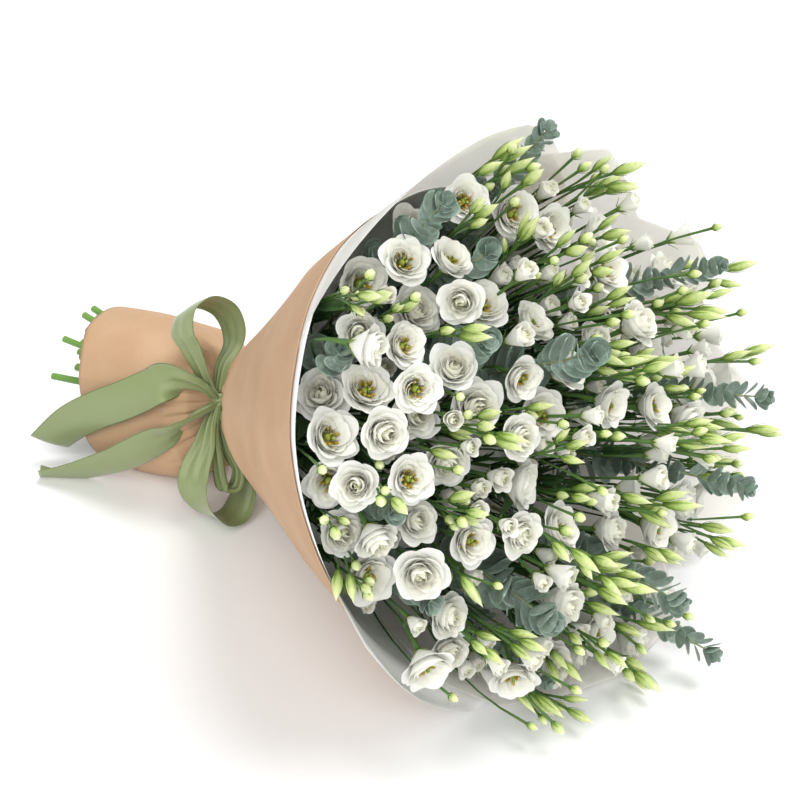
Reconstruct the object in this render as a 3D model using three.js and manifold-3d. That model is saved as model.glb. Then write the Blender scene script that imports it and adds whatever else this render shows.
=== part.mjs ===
// A hand-tied bouquet of white lisianthus and eucalyptus, wrapped in ivory and kraft paper,
// bound with a satin ribbon and lying on a table. Millimetres, +Z up.
// While it is laid out the tie, where all stems cross, is at the origin. At the end the whole
// model is moved so that the table is at z = 0 below the middle of its box.

import * as THREE from 'three';
import { mergeVertices } from 'three/addons/utils/BufferGeometryUtils.js';
import Module from 'manifold-3d';

// ---------------------------------------------------------------- driving dimensions

const tieHeight = 96;           // from the table to the middle of the tie
const axisTilt = 15;            // degrees the bouquet's axis rises towards the flowers
const gap = 0.3;                // left between pieces that touch

const bundleRadius = 14.6;      // stem centres at the tie
const stemSpacing = 4.1;
const stemRadius = 1.75;
const cutRadius = 3.4;
const lowSpread = 0.0185;       // how fast the crossed stems spread below the tie, per mm
const headSpread = 0.036;       // and how much faster above it
const spreadEase = 60;
const lowLift = 24;             // the stem ends lie this much higher than the tie's axis
const shortestEnd = 160;        // from the tie down to the cut of the shortest stem
const endRange = 56;            // and how much longer a stem can be

const paperThickness = 0.8;
const tissueThickness = 0.7;
const tissueDepth = 1.2;        // of the first tissue, from the kraft paper's outer face
const sheetStep = 1.2;          // from one tissue sheet to the next
const neckRadius = 20;          // outside of the kraft paper at the tie
const pleats = 8;

const ribbonWidth = 32;
const ribbonThickness = 0.8;

const smallBloom = 17;          // radius of the smallest open bloom
const bloomRange = 4;           // and how much larger a bloom can be
const bloomHeight = 0.62;       // of the bloom's width
const bloomAir = 0.8;           // between two blooms
const clusterRadius = 26;       // a spray's blooms start this far round its head
const branchRadius = 1.3;
const budBranch = 1;            // radius of a bud's branch
const budRadius = 4.7;
const budLength = 25;
const leafThickness = 0.8;
const leafFoot = 2;             // a leaf starts this far from its stem's axis
const smallLeaf = 10;           // a leaf with a smaller radius has a simpler outline
const paperMargin = 7;          // flowers keep this far from the kraft paper's outer face
const tableMargin = 1;

// radius of the kraft paper along the bouquet's axis, 0 at the tie, the flowers at +
const wallProfile = [
  [-150, 66], [-90, 65], [-34, 61], [-18, 49], [-6, neckRadius],
  [6, neckRadius], [16, 36], [30, 50], [60, 75], [200, 157], [460, 291],
];
const pleatDepth = [[-90, 0], [-18, 2], [-6, 0], [6, 0], [16, 2], [30, 1.6], [60, 0]];

// how high the paper stands round the flowers, by turn: low towards the viewer
const paperTop = [
  [0, 345], [22.5, 314], [45, 280], [67.5, 282], [90, 298], [112.5, 306], [135, 308],
  [157.5, 338], [180, 378], [213.75, 380], [236.25, 400], [258.75, 390], [292.5, 378],
  [315, 346], [337.5, 352], [360, 345],
];

// sprays of lisianthus: direction of the head from the tie (turn round the axis with 0 on top
// and 90 towards the viewer, tilt from the axis), reach from the tie, blooms and buds. Some have
// a stem that is cut longer, or blooms spun on by some degrees
const sprays = [
  { turn: 32, tilt: 33, reach: 360, blooms: 3, buds: 3, spin: 10 },
  { turn: 56, tilt: 33, reach: 358, blooms: 3, buds: 3 },
  { turn: 46, tilt: 29, reach: 368, blooms: 3, buds: 3 },
  { turn: 44, tilt: 21, reach: 378, blooms: 3, buds: 3 },
  { turn: 71, tilt: 30, reach: 362, blooms: 3, buds: 3 },
  { turn: 66, tilt: 23, reach: 374, blooms: 2, buds: 3 },
  { turn: 88, tilt: 30, reach: 366, blooms: 3, buds: 3 },
  { turn: 84, tilt: 20, reach: 378, blooms: 2, buds: 2 },
  { turn: 116, tilt: 26, reach: 384, blooms: 3, buds: 4 },
  { turn: 24, tilt: 30, reach: 372, blooms: 3, buds: 3 },
  { turn: 12, tilt: 33, reach: 378, blooms: 2, buds: 3 },
  { turn: 356, tilt: 32, reach: 386, blooms: 2, buds: 4 },
  { turn: 4, tilt: 22, reach: 388, blooms: 2, buds: 3 },
  { turn: 332, tilt: 28, reach: 402, blooms: 2, buds: 3 },
  { turn: 330, tilt: 18, reach: 402, blooms: 3, buds: 3 },
  { turn: 35, tilt: 12, reach: 388, blooms: 3, buds: 2, longer: 2 },
  { turn: 345, tilt: 9, reach: 396, blooms: 2, buds: 3 },
  { turn: 100, tilt: 10, reach: 392, blooms: 3, buds: 2 },
  { turn: 150, tilt: 24, reach: 405, blooms: 2, buds: 4 },
  { turn: 182, tilt: 22, reach: 420, blooms: 2, buds: 3 },
  { turn: 305, tilt: 17, reach: 410, blooms: 2, buds: 4 },
  { turn: 270, tilt: 13, reach: 416, blooms: 2, buds: 4, spin: 10 },
  { turn: 205, tilt: 11, reach: 412, blooms: 3, buds: 3 },
  { turn: 232, tilt: 22, reach: 428, blooms: 2, buds: 4 },
  { turn: 262, tilt: 26, reach: 432, blooms: 2, buds: 3 },
  { turn: 292, tilt: 27, reach: 424, blooms: 2, buds: 3 },
  { turn: 146, tilt: 15, reach: 400, blooms: 1, buds: 5 },
];

// eucalyptus fronds: direction as above, reach of the tip, widest leaf, pairs, sag of the tip
const fronds = [
  { turn: 42, tilt: 35, reach: 368, leaf: 15, pairs: 4, sag: 0 },
  { turn: 14, tilt: 35, reach: 430, leaf: 13, pairs: 6, sag: 0 },
  { turn: 8, tilt: 28, reach: 402, leaf: 15, pairs: 5, sag: 0 },
  { turn: 26, tilt: 22, reach: 396, leaf: 16, pairs: 5, sag: 0 },
  { turn: 12, tilt: 15, reach: 445, leaf: 17, pairs: 6, sag: 0 },
  { turn: 349, tilt: 35, reach: 452, leaf: 11, pairs: 8, sag: 0 },
  { turn: 304, tilt: 24, reach: 474, leaf: 12, pairs: 7, sag: 5, longer: 7 },
  { turn: 268, tilt: 19, reach: 488, leaf: 12, pairs: 7, sag: 6 },
  { turn: 240, tilt: 17, reach: 478, leaf: 13, pairs: 7, sag: 8 },
  { turn: 122, tilt: 15, reach: 422, leaf: 17, pairs: 6, sag: 26 },
  { turn: 75, tilt: 27, reach: 382, leaf: 14, pairs: 5, sag: 0 },
  { turn: 102, tilt: 25, reach: 384, leaf: 14, pairs: 5, sag: 4 },
  { turn: 178, tilt: 12, reach: 470, leaf: 15, pairs: 7, sag: 12 },
  { turn: 192, tilt: 22, reach: 492, leaf: 12, pairs: 7, sag: 8 },
  { turn: 152, tilt: 25, reach: 415, leaf: 10, pairs: 5, sag: 0 },
];

// ivory tissue sheets behind the flowers: their rim as turn and height along the axis
const tissueSheets = [
  { name: 'ivory_sheet_left', layer: 0,
    rim: [[315, 300], [337.5, 338], [348.75, 350], [0, 345], [22.5, 314], [33.75, 302]] },
  { name: 'ivory_sheet_back', layer: 2,
    rim: [[270, 330], [281.25, 376], [292.5, 374], [303.75, 340], [326.25, 356], [337.5, 318]] },
  { name: 'ivory_sheet_right', layer: 3,
    rim: [[213.75, 340], [225, 376], [236.25, 400], [247.5, 378], [258.75, 390], [281.25, 330]] },
  { name: 'ivory_sheet_under', layer: 4,
    rim: [[135, 300], [146.25, 318], [168.75, 362], [180, 380], [202.5, 382], [225, 330]] },
];
const liningLayer = 1;

// satin ribbon: loops and tails from the knot, as height along the axis, radius, turn and how
// wide the ribbon lies open, from gathered near the knot to 1
const knotTurn = 64;
const ribbonLoops = [
  { steps: 12, centre: [5, 85, 16], points: [
    [0, 28, 60, 0.3], [-2, 44, 46, 0.5], [-4, 66, 32, 0.8], [-8, 90, 24, 1], [-14, 110, 16, 1],
    [2, 118, 8, 1], [22, 110, 4, 1], [28, 90, 6, 0.95], [17, 66, 16, 0.75], [5, 44, 38, 0.5],
    [1, 28, 58, 0.3]] },
  { steps: 12, centre: [8, 92, 128], points: [
    [0, 28, 70, 0.3], [-3, 44, 90, 0.5], [-6, 66, 108, 0.8], [-10, 90, 122, 1], [-4, 112, 132, 1],
    [10, 120, 138, 1], [24, 108, 140, 1], [26, 86, 138, 0.95], [16, 62, 126, 0.7],
    [5, 44, 100, 0.5], [1, 28, 74, 0.3]] },
];
const ribbonTails = [
  { steps: 10, points: [
    [0, 28, 60, 0.3], [-4, 43, 48, 0.5], [-14, 58, 48, 0.8], [-30, 68, 52, 1], [-52, 71, 62, 1],
    [-80, 74, 72, 1], [-112, 77, 81, 1], [-148, 83, 92, 1], [-186, 94, 107, 1]] },
  { steps: 10, points: [
    [0, 28, 70, 0.3], [-4, 44, 78, 0.5], [-14, 60, 86, 0.8], [-30, 71, 94, 1], [-55, 82, 102, 1],
    [-84, 92, 109, 1], [-116, 103, 113, 1], [-150, 115, 115, 1], [-184, 126, 115, 1]] },
];

// ---------------------------------------------------------------- small maths

const radians = (degrees) => degrees * Math.PI / 180;
const clamp = (value, low, high) => Math.min(Math.max(value, low), high);
const add = (a, b) => [a[0] + b[0], a[1] + b[1], a[2] + b[2]];
const sub = (a, b) => [a[0] - b[0], a[1] - b[1], a[2] - b[2]];
const scale = (a, s) => [a[0] * s, a[1] * s, a[2] * s];
const dot = (a, b) => a[0] * b[0] + a[1] * b[1] + a[2] * b[2];
const cross = (a, b) => [
  a[1] * b[2] - a[2] * b[1],
  a[2] * b[0] - a[0] * b[2],
  a[0] * b[1] - a[1] * b[0],
];
const length = (a) => Math.sqrt(dot(a, a));
const unit = (a) => scale(a, 1 / length(a));
const mix = (a, b, t) => add(scale(a, 1 - t), scale(b, t));

// value at x on a line through the points of a table
function lookup(table, x) {
  if (x <= table[0][0]) {
    return table[0][1];
  }
  for (let i = 1; i < table.length; i += 1) {
    if (x <= table[i][0]) {
      const [x0, y0] = table[i - 1];
      const [x1, y1] = table[i];
      return y0 + (y1 - y0) * (x - x0) / (x1 - x0);
    }
  }
  return table[table.length - 1][1];
}

// repeatable random numbers from 0 to 1
function makeRandom(seed) {
  let state = seed;
  return () => {
    state = (Math.imul(state, 1664525) + 1013904223) >>> 0;
    return state / 4294967296;
  };
}

// ---------------------------------------------------------------- the bouquet's own axes

const tilt = radians(axisTilt);
const axis = [Math.cos(tilt), 0, Math.sin(tilt)];
const over = [-Math.sin(tilt), 0, Math.cos(tilt)];
const near = [0, -1, 0];
const table = -tieHeight;

// point at a height along the axis and an offset across it
const across = (h, x, y) => add(scale(axis, h), add(scale(over, x), scale(near, y)));
const around = (h, r, turn) => across(h, r * Math.cos(radians(turn)), r * Math.sin(radians(turn)));

// height, radius and turn of a point
function cylindrical(point) {
  const x = dot(point, over);
  const y = dot(point, near);
  const turn = Math.atan2(y, x) * 180 / Math.PI;
  return { h: dot(point, axis), r: Math.sqrt(x * x + y * y), turn: (turn + 360) % 360 };
}

// ---------------------------------------------------------------- the wrap's surface

function wallRadius(h, turn) {
  const above = Math.max(Math.cos(radians(turn - 25)), 0);
  const below = Math.max(Math.cos(radians(turn - 125)), 0);
  const under = Math.max(-Math.cos(radians(turn + 10)), 0);
  const top = Math.max(Math.cos(radians(turn)), 0);
  let r = lookup(wallProfile, h);
  r *= 1 + 0.17 * above * Math.sqrt(above) * clamp(h / 200, 0, 1);
  r *= 1 - 0.07 * below * clamp(h / 120, 0, 1);
  r *= 1 + 0.34 * under * clamp(-h / 60, 0, 1);
  r *= 1 + 0.1 * top * top * clamp(-h / 120, 0, 1);
  return r + lookup(pleatDepth, h) * Math.cos(radians(turn * pleats));
}

// point of the wrap a given depth inside its outer face, resting on the table where it would sink
function wallPoint(h, turn, depth) {
  const slope = (wallRadius(h + 1, turn) - wallRadius(h - 1, turn)) / 2;
  const level = 1 / Math.sqrt(1 + slope * slope);
  const r = wallRadius(h, turn) - depth * level;
  const point = around(h + depth * slope * level, r, turn);
  point[2] = Math.max(point[2], table + depth);
  return point;
}

const kraftFoot = (turn) => -150 - 22 * Math.max(Math.cos(radians(turn + 20)), 0) ** 2;
const kraftRim = (turn) => 272 + 26 * Math.cos(radians(turn - 150));
const liningRim = (turn) => kraftRim(turn) + 9 + 4 * Math.cos(radians(turn - 110));

// ---------------------------------------------------------------- layout of the stems

const spread = (h) => lowSpread * h + (h > 0 ? headSpread * h * h / (h + spreadEase) : 0);

// a stem followed to height h: all stems turn about the axis together as they cross at the tie,
// and bend a little above it, so that each head is where it belongs
function stemPoint(plant, h) {
  const g = spread(h);
  const [x, y] = plant.place;
  const lift = h < 0 ? -lowLift * h / 190 : 0;
  const bend = h > 0 ? (h / plant.h) * (h / plant.h) : 0;
  return across(h, x - g * y + lift + bend * plant.bend[0], y + g * x + bend * plant.bend[1]);
}

// the places at the tie that bring each stem's head where it belongs, pushed apart
function placeStems(heads) {
  const places = heads.map((head) => {
    const h = head.reach * Math.cos(radians(head.tilt));
    const d = head.reach * Math.sin(radians(head.tilt));
    const x = d * Math.cos(radians(head.turn));
    const y = d * Math.sin(radians(head.turn));
    const g = spread(h);
    return [(x + g * y) / (1 + g * g), (y - g * x) / (1 + g * g)];
  });
  for (let pass = 0; pass < 300; pass += 1) {
    for (let i = 0; i < places.length; i += 1) {
      for (let j = i + 1; j < places.length; j += 1) {
        const dx = places[j][0] - places[i][0];
        const dy = places[j][1] - places[i][1];
        const apart = Math.sqrt(dx * dx + dy * dy);
        if (apart < stemSpacing) {
          const push = (stemSpacing - apart) / apart / 2;
          places[i] = [places[i][0] - dx * push, places[i][1] - dy * push];
          places[j] = [places[j][0] + dx * push, places[j][1] + dy * push];
        }
      }
    }
    for (let i = 0; i < places.length; i += 1) {
      const r = Math.sqrt(places[i][0] * places[i][0] + places[i][1] * places[i][1]);
      if (r > bundleRadius) {
        places[i] = [places[i][0] * bundleRadius / r, places[i][1] * bundleRadius / r];
      }
    }
  }
  return places;
}

const stemStations = [0, 120];

// axis of a stem from its cut end to height top
function stemPath(plant, top) {
  const heights = [plant.low, ...stemStations.filter((h) => h < top - 40), top];
  return heights.map((h) => stemPoint(plant, h));
}

// ---------------------------------------------------------------- room between the pieces

// capsules that say where pieces are: two ends, a radius and the piece they belong to
const taken = [];

function take(a, b, radius, owner, kind, item = null) {
  taken.push({ a, b, radius, owner, kind, item });
}

function segmentDistance(p0, p1, q0, q1) {
  const u = sub(p1, p0);
  const v = sub(q1, q0);
  const w = sub(p0, q0);
  const a = dot(u, u) + 1e-9;
  const b = dot(u, v);
  const c = dot(v, v) + 1e-9;
  const d = dot(u, w);
  const e = dot(v, w);
  let s = clamp((b * e - c * d) / (a * c - b * b + 1e-9), 0, 1);
  const t = clamp((b * s + e) / c, 0, 1);
  s = clamp((b * t - d) / a, 0, 1);
  return length(sub(add(p0, scale(u, s)), add(q0, scale(v, t))));
}

// room left round a capsule: its least distance to what has been taken, apart from what is ignored
function room(a, b, radius, ignored) {
  let least = 1000;
  for (const other of taken) {
    if (!ignored(other)) {
      least = Math.min(least, segmentDistance(a, b, other.a, other.b) - radius - other.radius);
    }
  }
  return least;
}

// room round a branch; past its first stretch it also keeps clear of its own plant's pieces
function pathRoom(points, radius, owner, item) {
  let least = room(points[0], points[1], radius, (other) => other.owner === owner);
  for (let i = 2; i < points.length; i += 1) {
    least = Math.min(least, room(points[i - 1], points[i], radius, (other) => (
      other.owner === owner && (other.kind === 'stem' || other.item === item)
    )));
  }
  return least;
}

// least distance of a ball to the paper, up to its rim, and to the table
function paperRoom(point, radius) {
  const { h, r, turn } = cylindrical(point);
  const top = lookup(paperTop, turn);
  const rimRadius = wallRadius(top, turn);
  const slope = (rimRadius - wallRadius(top - 60, turn)) / 60;
  const long = Math.sqrt(1 + slope * slope);
  const past = ((h - top) + (r - rimRadius) * slope) / long;
  const inside = ((h - top) * slope - (r - rimRadius)) / long;
  const away = past < 0 ? inside : Math.sqrt(past * past + inside * inside);
  const low = point[2] - table - radius - (past < 0 ? paperMargin : tableMargin);
  return Math.min(away - paperMargin - radius, low);
}

// ---------------------------------------------------------------- layout of the heads

// two directions across a given one
function crossDirections(direction) {
  const first = unit(cross(direction, Math.abs(direction[1]) < 0.8 ? near : over));
  return [first, cross(direction, first)];
}

function headDirection(plant, h) {
  return unit(sub(stemPoint(plant, h + 10), stemPoint(plant, h - 10)));
}

// smooth branch from a stem to a bloom or bud that faces along end's direction
function branchPath(root, leaving, end, facing, steps) {
  const reach = length(sub(end, root));
  const first = add(root, scale(leaving, reach * 0.4));
  const second = sub(end, scale(facing, reach * 0.4));
  const points = [];
  for (let i = 0; i <= steps; i += 1) {
    const t = i / steps;
    const a = mix(mix(root, first, t), mix(first, second, t), t);
    const b = mix(mix(first, second, t), mix(second, end, t), t);
    points.push(mix(a, b, t));
  }
  return points;
}

// point of a stem's last stretch, a way back from where its first flower's branch goes on
function stemSpot(plant, back) {
  const [before, last] = plant.path.slice(-2);
  return mix(last, before, Math.min(back / length(sub(last, before)), 1));
}

// a branch leaves its stem about 30 degrees off it, towards where it ends
function leavingDirection(plant, root, end) {
  const stem = headDirection(plant, plant.top);
  const line = sub(end, root);
  const aside = unit(sub(line, scale(stem, dot(line, stem))));
  return unit(add(stem, scale(aside, 0.55)));
}

function layOut() {
  const random = makeRandom(41);
  const heads = [...sprays, ...fronds];
  const places = placeStems(heads);
  const plants = heads.map((head, index) => {
    const h = head.reach * Math.cos(radians(head.tilt));
    const d = head.reach * Math.sin(radians(head.tilt));
    const [x, y] = places[index];
    const g = spread(h);
    const bend = [
      d * Math.cos(radians(head.turn)) - (x - g * y),
      d * Math.sin(radians(head.turn)) - (y + g * x),
    ];
    const leafy = index >= sprays.length;
    const low = -shortestEnd - endRange * random() - (head.longer || 0);
    return { index, head, place: places[index], bend, h, leafy, low, top: leafy ? h : h * 0.7 };
  });
  for (const plant of plants) {
    plant.path = stemPath(plant, plant.leafy ? plant.h * 0.62 : plant.top);
    plant.leafFrom = plant.path.length - 1;
    for (let i = 1; plant.leafy && i <= 5; i += 1) {
      const point = stemPoint(plant, plant.h * (0.62 + 0.38 * i / 5));
      point[2] -= plant.head.sag * i * i / 25;
      plant.path.push(point);
    }
    for (let i = 1; i < plant.path.length; i += 1) {
      take(plant.path[i - 1], plant.path[i], stemRadius + gap, plant.index, 'stem');
    }
  }
  placeBlooms(plants, random);
  growBranches(plants, random);
  growLeaves(plants, random);
  growBuds(plants, random);
  return plants;
}

// blooms start round their spray's head and are pushed apart, off the fronds and the paper
function placeBlooms(plants, random) {
  const blooms = [];
  for (const plant of plants) {
    plant.blooms = [];
    for (let i = 0; i < (plant.head.blooms || 0); i += 1) {
      const [first, second] = crossDirections(headDirection(plant, plant.h));
      const angle = 2 * Math.PI * (i / plant.head.blooms + random() * 0.25);
      const out = plant.head.blooms > 1 ? clusterRadius : 6;
      const home = add(
        stemPoint(plant, plant.h + 24 * (random() - 0.5)),
        add(scale(first, out * Math.cos(angle)), scale(second, out * Math.sin(angle))),
      );
      const radius = smallBloom + bloomRange * random();
      const bloom = { plant, home, centre: home, radius, room: radius * 1.04 };
      plant.blooms.push(bloom);
      blooms.push(bloom);
    }
  }
  const posts = [];
  for (const plant of plants) {
    if (plant.leafy) {
      for (let i = plant.leafFrom + 1; i < plant.path.length; i += 1) {
        posts.push({ centre: plant.path[i], room: 8 });
      }
    }
  }
  for (let pass = 0; pass < 120; pass += 1) {
    for (let i = 0; i < blooms.length; i += 1) {
      const bloom = blooms[i];
      for (let j = i + 1; j < blooms.length; j += 1) {
        const other = blooms[j];
        const line = sub(other.centre, bloom.centre);
        const apart = length(line);
        const short = bloom.room + other.room + bloomAir - apart;
        if (short > 0) {
          bloom.centre = sub(bloom.centre, scale(line, short / apart / 2));
          other.centre = add(other.centre, scale(line, short / apart / 2));
        }
      }
      for (const post of posts) {
        const line = sub(bloom.centre, post.centre);
        const apart = length(line);
        const short = bloom.room + post.room - apart;
        if (short > 0) {
          bloom.centre = add(bloom.centre, scale(line, short / apart));
        }
      }
      bloom.centre = mix(bloom.centre, bloom.home, 0.01);
      const tight = paperRoom(bloom.centre, bloom.room);
      if (tight < 0) {
        const { h, turn } = cylindrical(bloom.centre);
        const inward = unit(sub(around(h + 30, 0, turn), bloom.centre));
        bloom.centre = sub(bloom.centre, scale(inward, tight));
      }
    }
  }
  for (const bloom of blooms) {
    const lean = [random() - 0.5, random() - 0.5, random() - 0.5];
    bloom.facing = unit(add(unit(bloom.centre), scale(lean, 0.8)));
    bloom.spin = random() * 72 + (bloom.plant.head.spin || 0);
    take(bloom.centre, bloom.centre, bloom.room, bloom.plant.index, 'bloom', bloom);
  }
}

// foot of a bloom: its rim lies a little above the middle of the ball that holds it
function bloomFoot(bloom, facing) {
  return sub(bloom.centre, scale(facing, bloom.radius * 0.95));
}

// each bloom nods until its branch finds a clear way round the other pieces
function growBranches(plants, random) {
  for (const plant of plants) {
    plant.blooms.forEach((bloom, count) => {
      let best = null;
      for (let trial = 0; trial < 30; trial += 1) {
        const back = count > 0 ? 11 * count - 7 + 5 * random() : 0;
        const root = stemSpot(plant, back);
        const nod = [random() - 0.5, random() - 0.5, random() - 0.5];
        const facing = unit(add(bloom.facing, scale(nod, trial * 0.06)));
        const base = bloomFoot(bloom, facing);
        const leaving = count > 0
          ? leavingDirection(plant, root, base)
          : headDirection(plant, plant.top);
        const points = branchPath(root, leaving, base, facing, 2);
        const free = Math.min(
          pathRoom(points, branchRadius, plant.index, bloom) - gap,
          paperRoom(points[1], branchRadius),
          paperRoom(mix(points[1], base, 0.5), branchRadius),
        );
        if (best === null || free > best.free) {
          best = { points, facing, free };
        }
        if (free > 0) {
          break;
        }
      }
      bloom.branch = best.points;
      bloom.facing = best.facing;
      bloom.base = bloomFoot(bloom, best.facing);
      for (let i = 1; i < best.points.length; i += 1) {
        take(best.points[i - 1], best.points[i], branchRadius, plant.index, 'branch', bloom);
      }
    });
  }
}

// capsules that cover a leaf: along its middle and across it
function leafCapsules(leaf) {
  const tip = add(leaf.base, scale(leaf.along, 2 * leaf.radius));
  const centre = mix(leaf.base, tip, 0.5);
  const wide = scale(leaf.wide, leaf.radius * 0.7);
  return [
    [add(leaf.base, scale(leaf.along, leaf.radius * 0.5)), tip],
    [sub(centre, wide), add(centre, wide)],
  ];
}

// leaves in opposite pairs, each pair a quarter turn on from the last, smaller towards the tip
function growLeaves(plants, random) {
  for (const plant of plants) {
    plant.pairs = [];
    if (!plant.leafy) {
      continue;
    }
    const spine = plant.path.slice(plant.leafFrom);
    let first = crossDirections(unit(sub(spine[1], spine[0])))[random() < 0.5 ? 0 : 1];
    for (let count = 0; count < plant.head.pairs; count += 1) {
      const t = (count + 0.6) / plant.head.pairs;
      const at = t * (spine.length - 1);
      const cell = Math.min(Math.floor(at), spine.length - 2);
      const root = mix(spine[cell], spine[cell + 1], at - cell);
      const direction = unit(sub(spine[cell + 1], spine[cell]));
      const turned = radians(90 + 24 * (random() - 0.5));
      first = unit(sub(first, scale(direction, dot(first, direction))));
      first = add(
        scale(first, Math.cos(turned)),
        scale(cross(direction, first), Math.sin(turned)),
      );
      const pair = { root, direction, first, leaves: [] };
      for (const way of [1, -1]) {
        for (let trial = 0; trial < 5; trial += 1) {
          const radius = plant.head.leaf * (1 - 0.5 * t) * (1 - 0.15 * trial);
          const rise = 0.4 + 0.4 * t + 0.3 * random();
          const along = unit(add(scale(first, way), scale(direction, rise)));
          const normal = unit(sub(direction, scale(along, dot(direction, along))));
          const wide = cross(along, normal);
          const leaf = { base: root, along, normal, wide, radius, way };
          const free = leafCapsules(leaf).every(([a, b]) => (
            room(a, b, radius * 0.5, (other) => other.owner === plant.index) > gap
            && paperRoom(b, radius * 0.5) > 0
          ));
          if (free) {
            pair.leaves.push(leaf);
            leafCapsules(leaf).forEach(([a, b]) => take(a, b, radius * 0.5, plant.index, 'leaf'));
            break;
          }
        }
      }
      plant.pairs.push(pair);
    }
  }
}

// buds stand past the blooms on thin branches of their own, wherever there is room for them
function growBuds(plants, random) {
  for (const plant of plants) {
    plant.budList = [];
    const [first, second] = crossDirections(headDirection(plant, plant.h));
    for (let count = 0; count < (plant.head.buds || 0); count += 1) {
      for (let trial = 0; trial < 24; trial += 1) {
        const angle = 2 * Math.PI * random();
        const out = 8 + 36 * random();
        const rise = 6 + 44 * random();
        const size = 0.8 + 0.3 * random();
        const back = 4 + 11 * (plant.head.blooms + count) - 6 * random();
        const lean = [random() - 0.5, random() - 0.5, random() - 0.5];
        const centre = add(
          stemPoint(plant, plant.h + rise),
          add(scale(first, out * Math.cos(angle)), scale(second, out * Math.sin(angle))),
        );
        const facing = unit(add(unit(centre), scale(lean, 0.5)));
        const base = sub(centre, scale(facing, budLength * size / 2));
        const tip = add(centre, scale(facing, budLength * size / 2));
        const root = stemSpot(plant, back);
        const points = branchPath(root, leavingDirection(plant, root, base), base, facing, 2);
        const free = room(base, tip, budRadius * size, () => false) > 0.5
          && pathRoom(points, budBranch, plant.index, null) > gap
          && paperRoom(tip, budRadius) > 0 && paperRoom(base, budRadius) > 0
          && paperRoom(points[1], budBranch) > 0
            && paperRoom(mix(points[1], base, 0.5), budBranch) > 0;
        if (free) {
          plant.budList.push({ base, tip, size, branch: points, facing });
          take(base, tip, budRadius * size, plant.index, 'bud');
          take(points[0], points[1], budBranch, plant.index, 'branch');
          take(points[1], points[2], budBranch, plant.index, 'branch');
          break;
        }
      }
    }
  }
}

// ---------------------------------------------------------------- solids

const wasm = await Module();
wasm.setup();

function geometryOf(points, triangles) {
  const geometry = new THREE.BufferGeometry();
  geometry.setAttribute('position', new THREE.Float32BufferAttribute(points.flat(), 3));
  geometry.setIndex(triangles.flat());
  return geometry;
}

// a closed mesh as a solid, turned so that its faces point out
function solidOf(geometry) {
  const merged = geometry.clone();
  merged.deleteAttribute('normal');
  merged.deleteAttribute('uv');
  const clean = mergeVertices(merged, 1e-5);
  const vertProperties = new Float32Array(clean.attributes.position.array);
  const triVerts = new Uint32Array(clean.index.array);
  let volume = 0;
  const corner = (i) => [...vertProperties.slice(triVerts[i] * 3, triVerts[i] * 3 + 3)];
  for (let i = 0; i < triVerts.length; i += 3) {
    volume += dot(corner(i), cross(corner(i + 1), corner(i + 2)));
  }
  if (volume < 0) {
    for (let i = 0; i < triVerts.length; i += 3) {
      [triVerts[i], triVerts[i + 1]] = [triVerts[i + 1], triVerts[i]];
    }
  }
  return new wasm.Manifold(new wasm.Mesh({ numProp: 3, vertProperties, triVerts }));
}

// one body from pieces that run into each other
function fused(solids) {
  const whole = wasm.Manifold.union(solids);
  const bodies = whole.decompose();
  bodies.sort((a, b) => b.volume() - a.volume());
  const mesh = bodies[0].getMesh();
  const geometry = new THREE.BufferGeometry();
  geometry.setAttribute('position', new THREE.BufferAttribute(mesh.vertProperties, 3));
  geometry.setIndex(new THREE.BufferAttribute(mesh.triVerts, 1));
  return geometry;
}

// triangles between two rings of points; each may have any number of points, down to one
function bridge(triangles, low, high) {
  const lowSteps = low.length > 1 ? low.length : 0;
  const highSteps = high.length > 1 ? high.length : 0;
  let i = 0;
  let j = 0;
  while (i < lowSteps || j < highSteps) {
    const first = low[i % low.length];
    const second = high[j % high.length];
    const lowFirst = i < lowSteps && (i + 1) / lowSteps <= (j + 1) / highSteps + 1e-9;
    if (j >= highSteps || lowFirst) {
      triangles.push([first, low[(i + 1) % low.length], second]);
      i += 1;
    } else {
      triangles.push([first, high[(j + 1) % high.length], second]);
      j += 1;
    }
  }
}

// closed skin through rings of points; an end of one point is a tip, any other end is capped
function loft(rings) {
  const points = [];
  const triangles = [];
  const numbered = rings.map((row) => row.map((point) => points.push(point) - 1));
  for (let k = 1; k < rings.length; k += 1) {
    bridge(triangles, numbered[k - 1], numbered[k]);
  }
  const low = numbered[0];
  const high = numbered[numbered.length - 1];
  for (let i = 1; i + 1 < low.length; i += 1) {
    triangles.push([low[0], low[i + 1], low[i]]);
  }
  for (let i = 1; i + 1 < high.length; i += 1) {
    triangles.push([high[0], high[i], high[i + 1]]);
  }
  return geometryOf(points, triangles);
}

// ring of points round a place
function ring(centre, first, second, radius, sides) {
  const points = [];
  for (let i = 0; i < sides; i += 1) {
    const angle = 2 * Math.PI * i / sides;
    points.push(add(centre, add(
      scale(first, radius * Math.cos(angle)),
      scale(second, radius * Math.sin(angle)),
    )));
  }
  return points;
}

// rings along a path, carried without twisting
function pathRings(points, radii, sides) {
  let first = null;
  return points.map((point, i) => {
    const before = points[Math.max(i - 1, 0)];
    const after = points[Math.min(i + 1, points.length - 1)];
    const direction = unit(sub(after, before));
    first = first === null
      ? crossDirections(direction)[0]
      : unit(sub(first, scale(direction, dot(first, direction))));
    return ring(point, first, cross(direction, first), radii[i], sides);
  });
}

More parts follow.
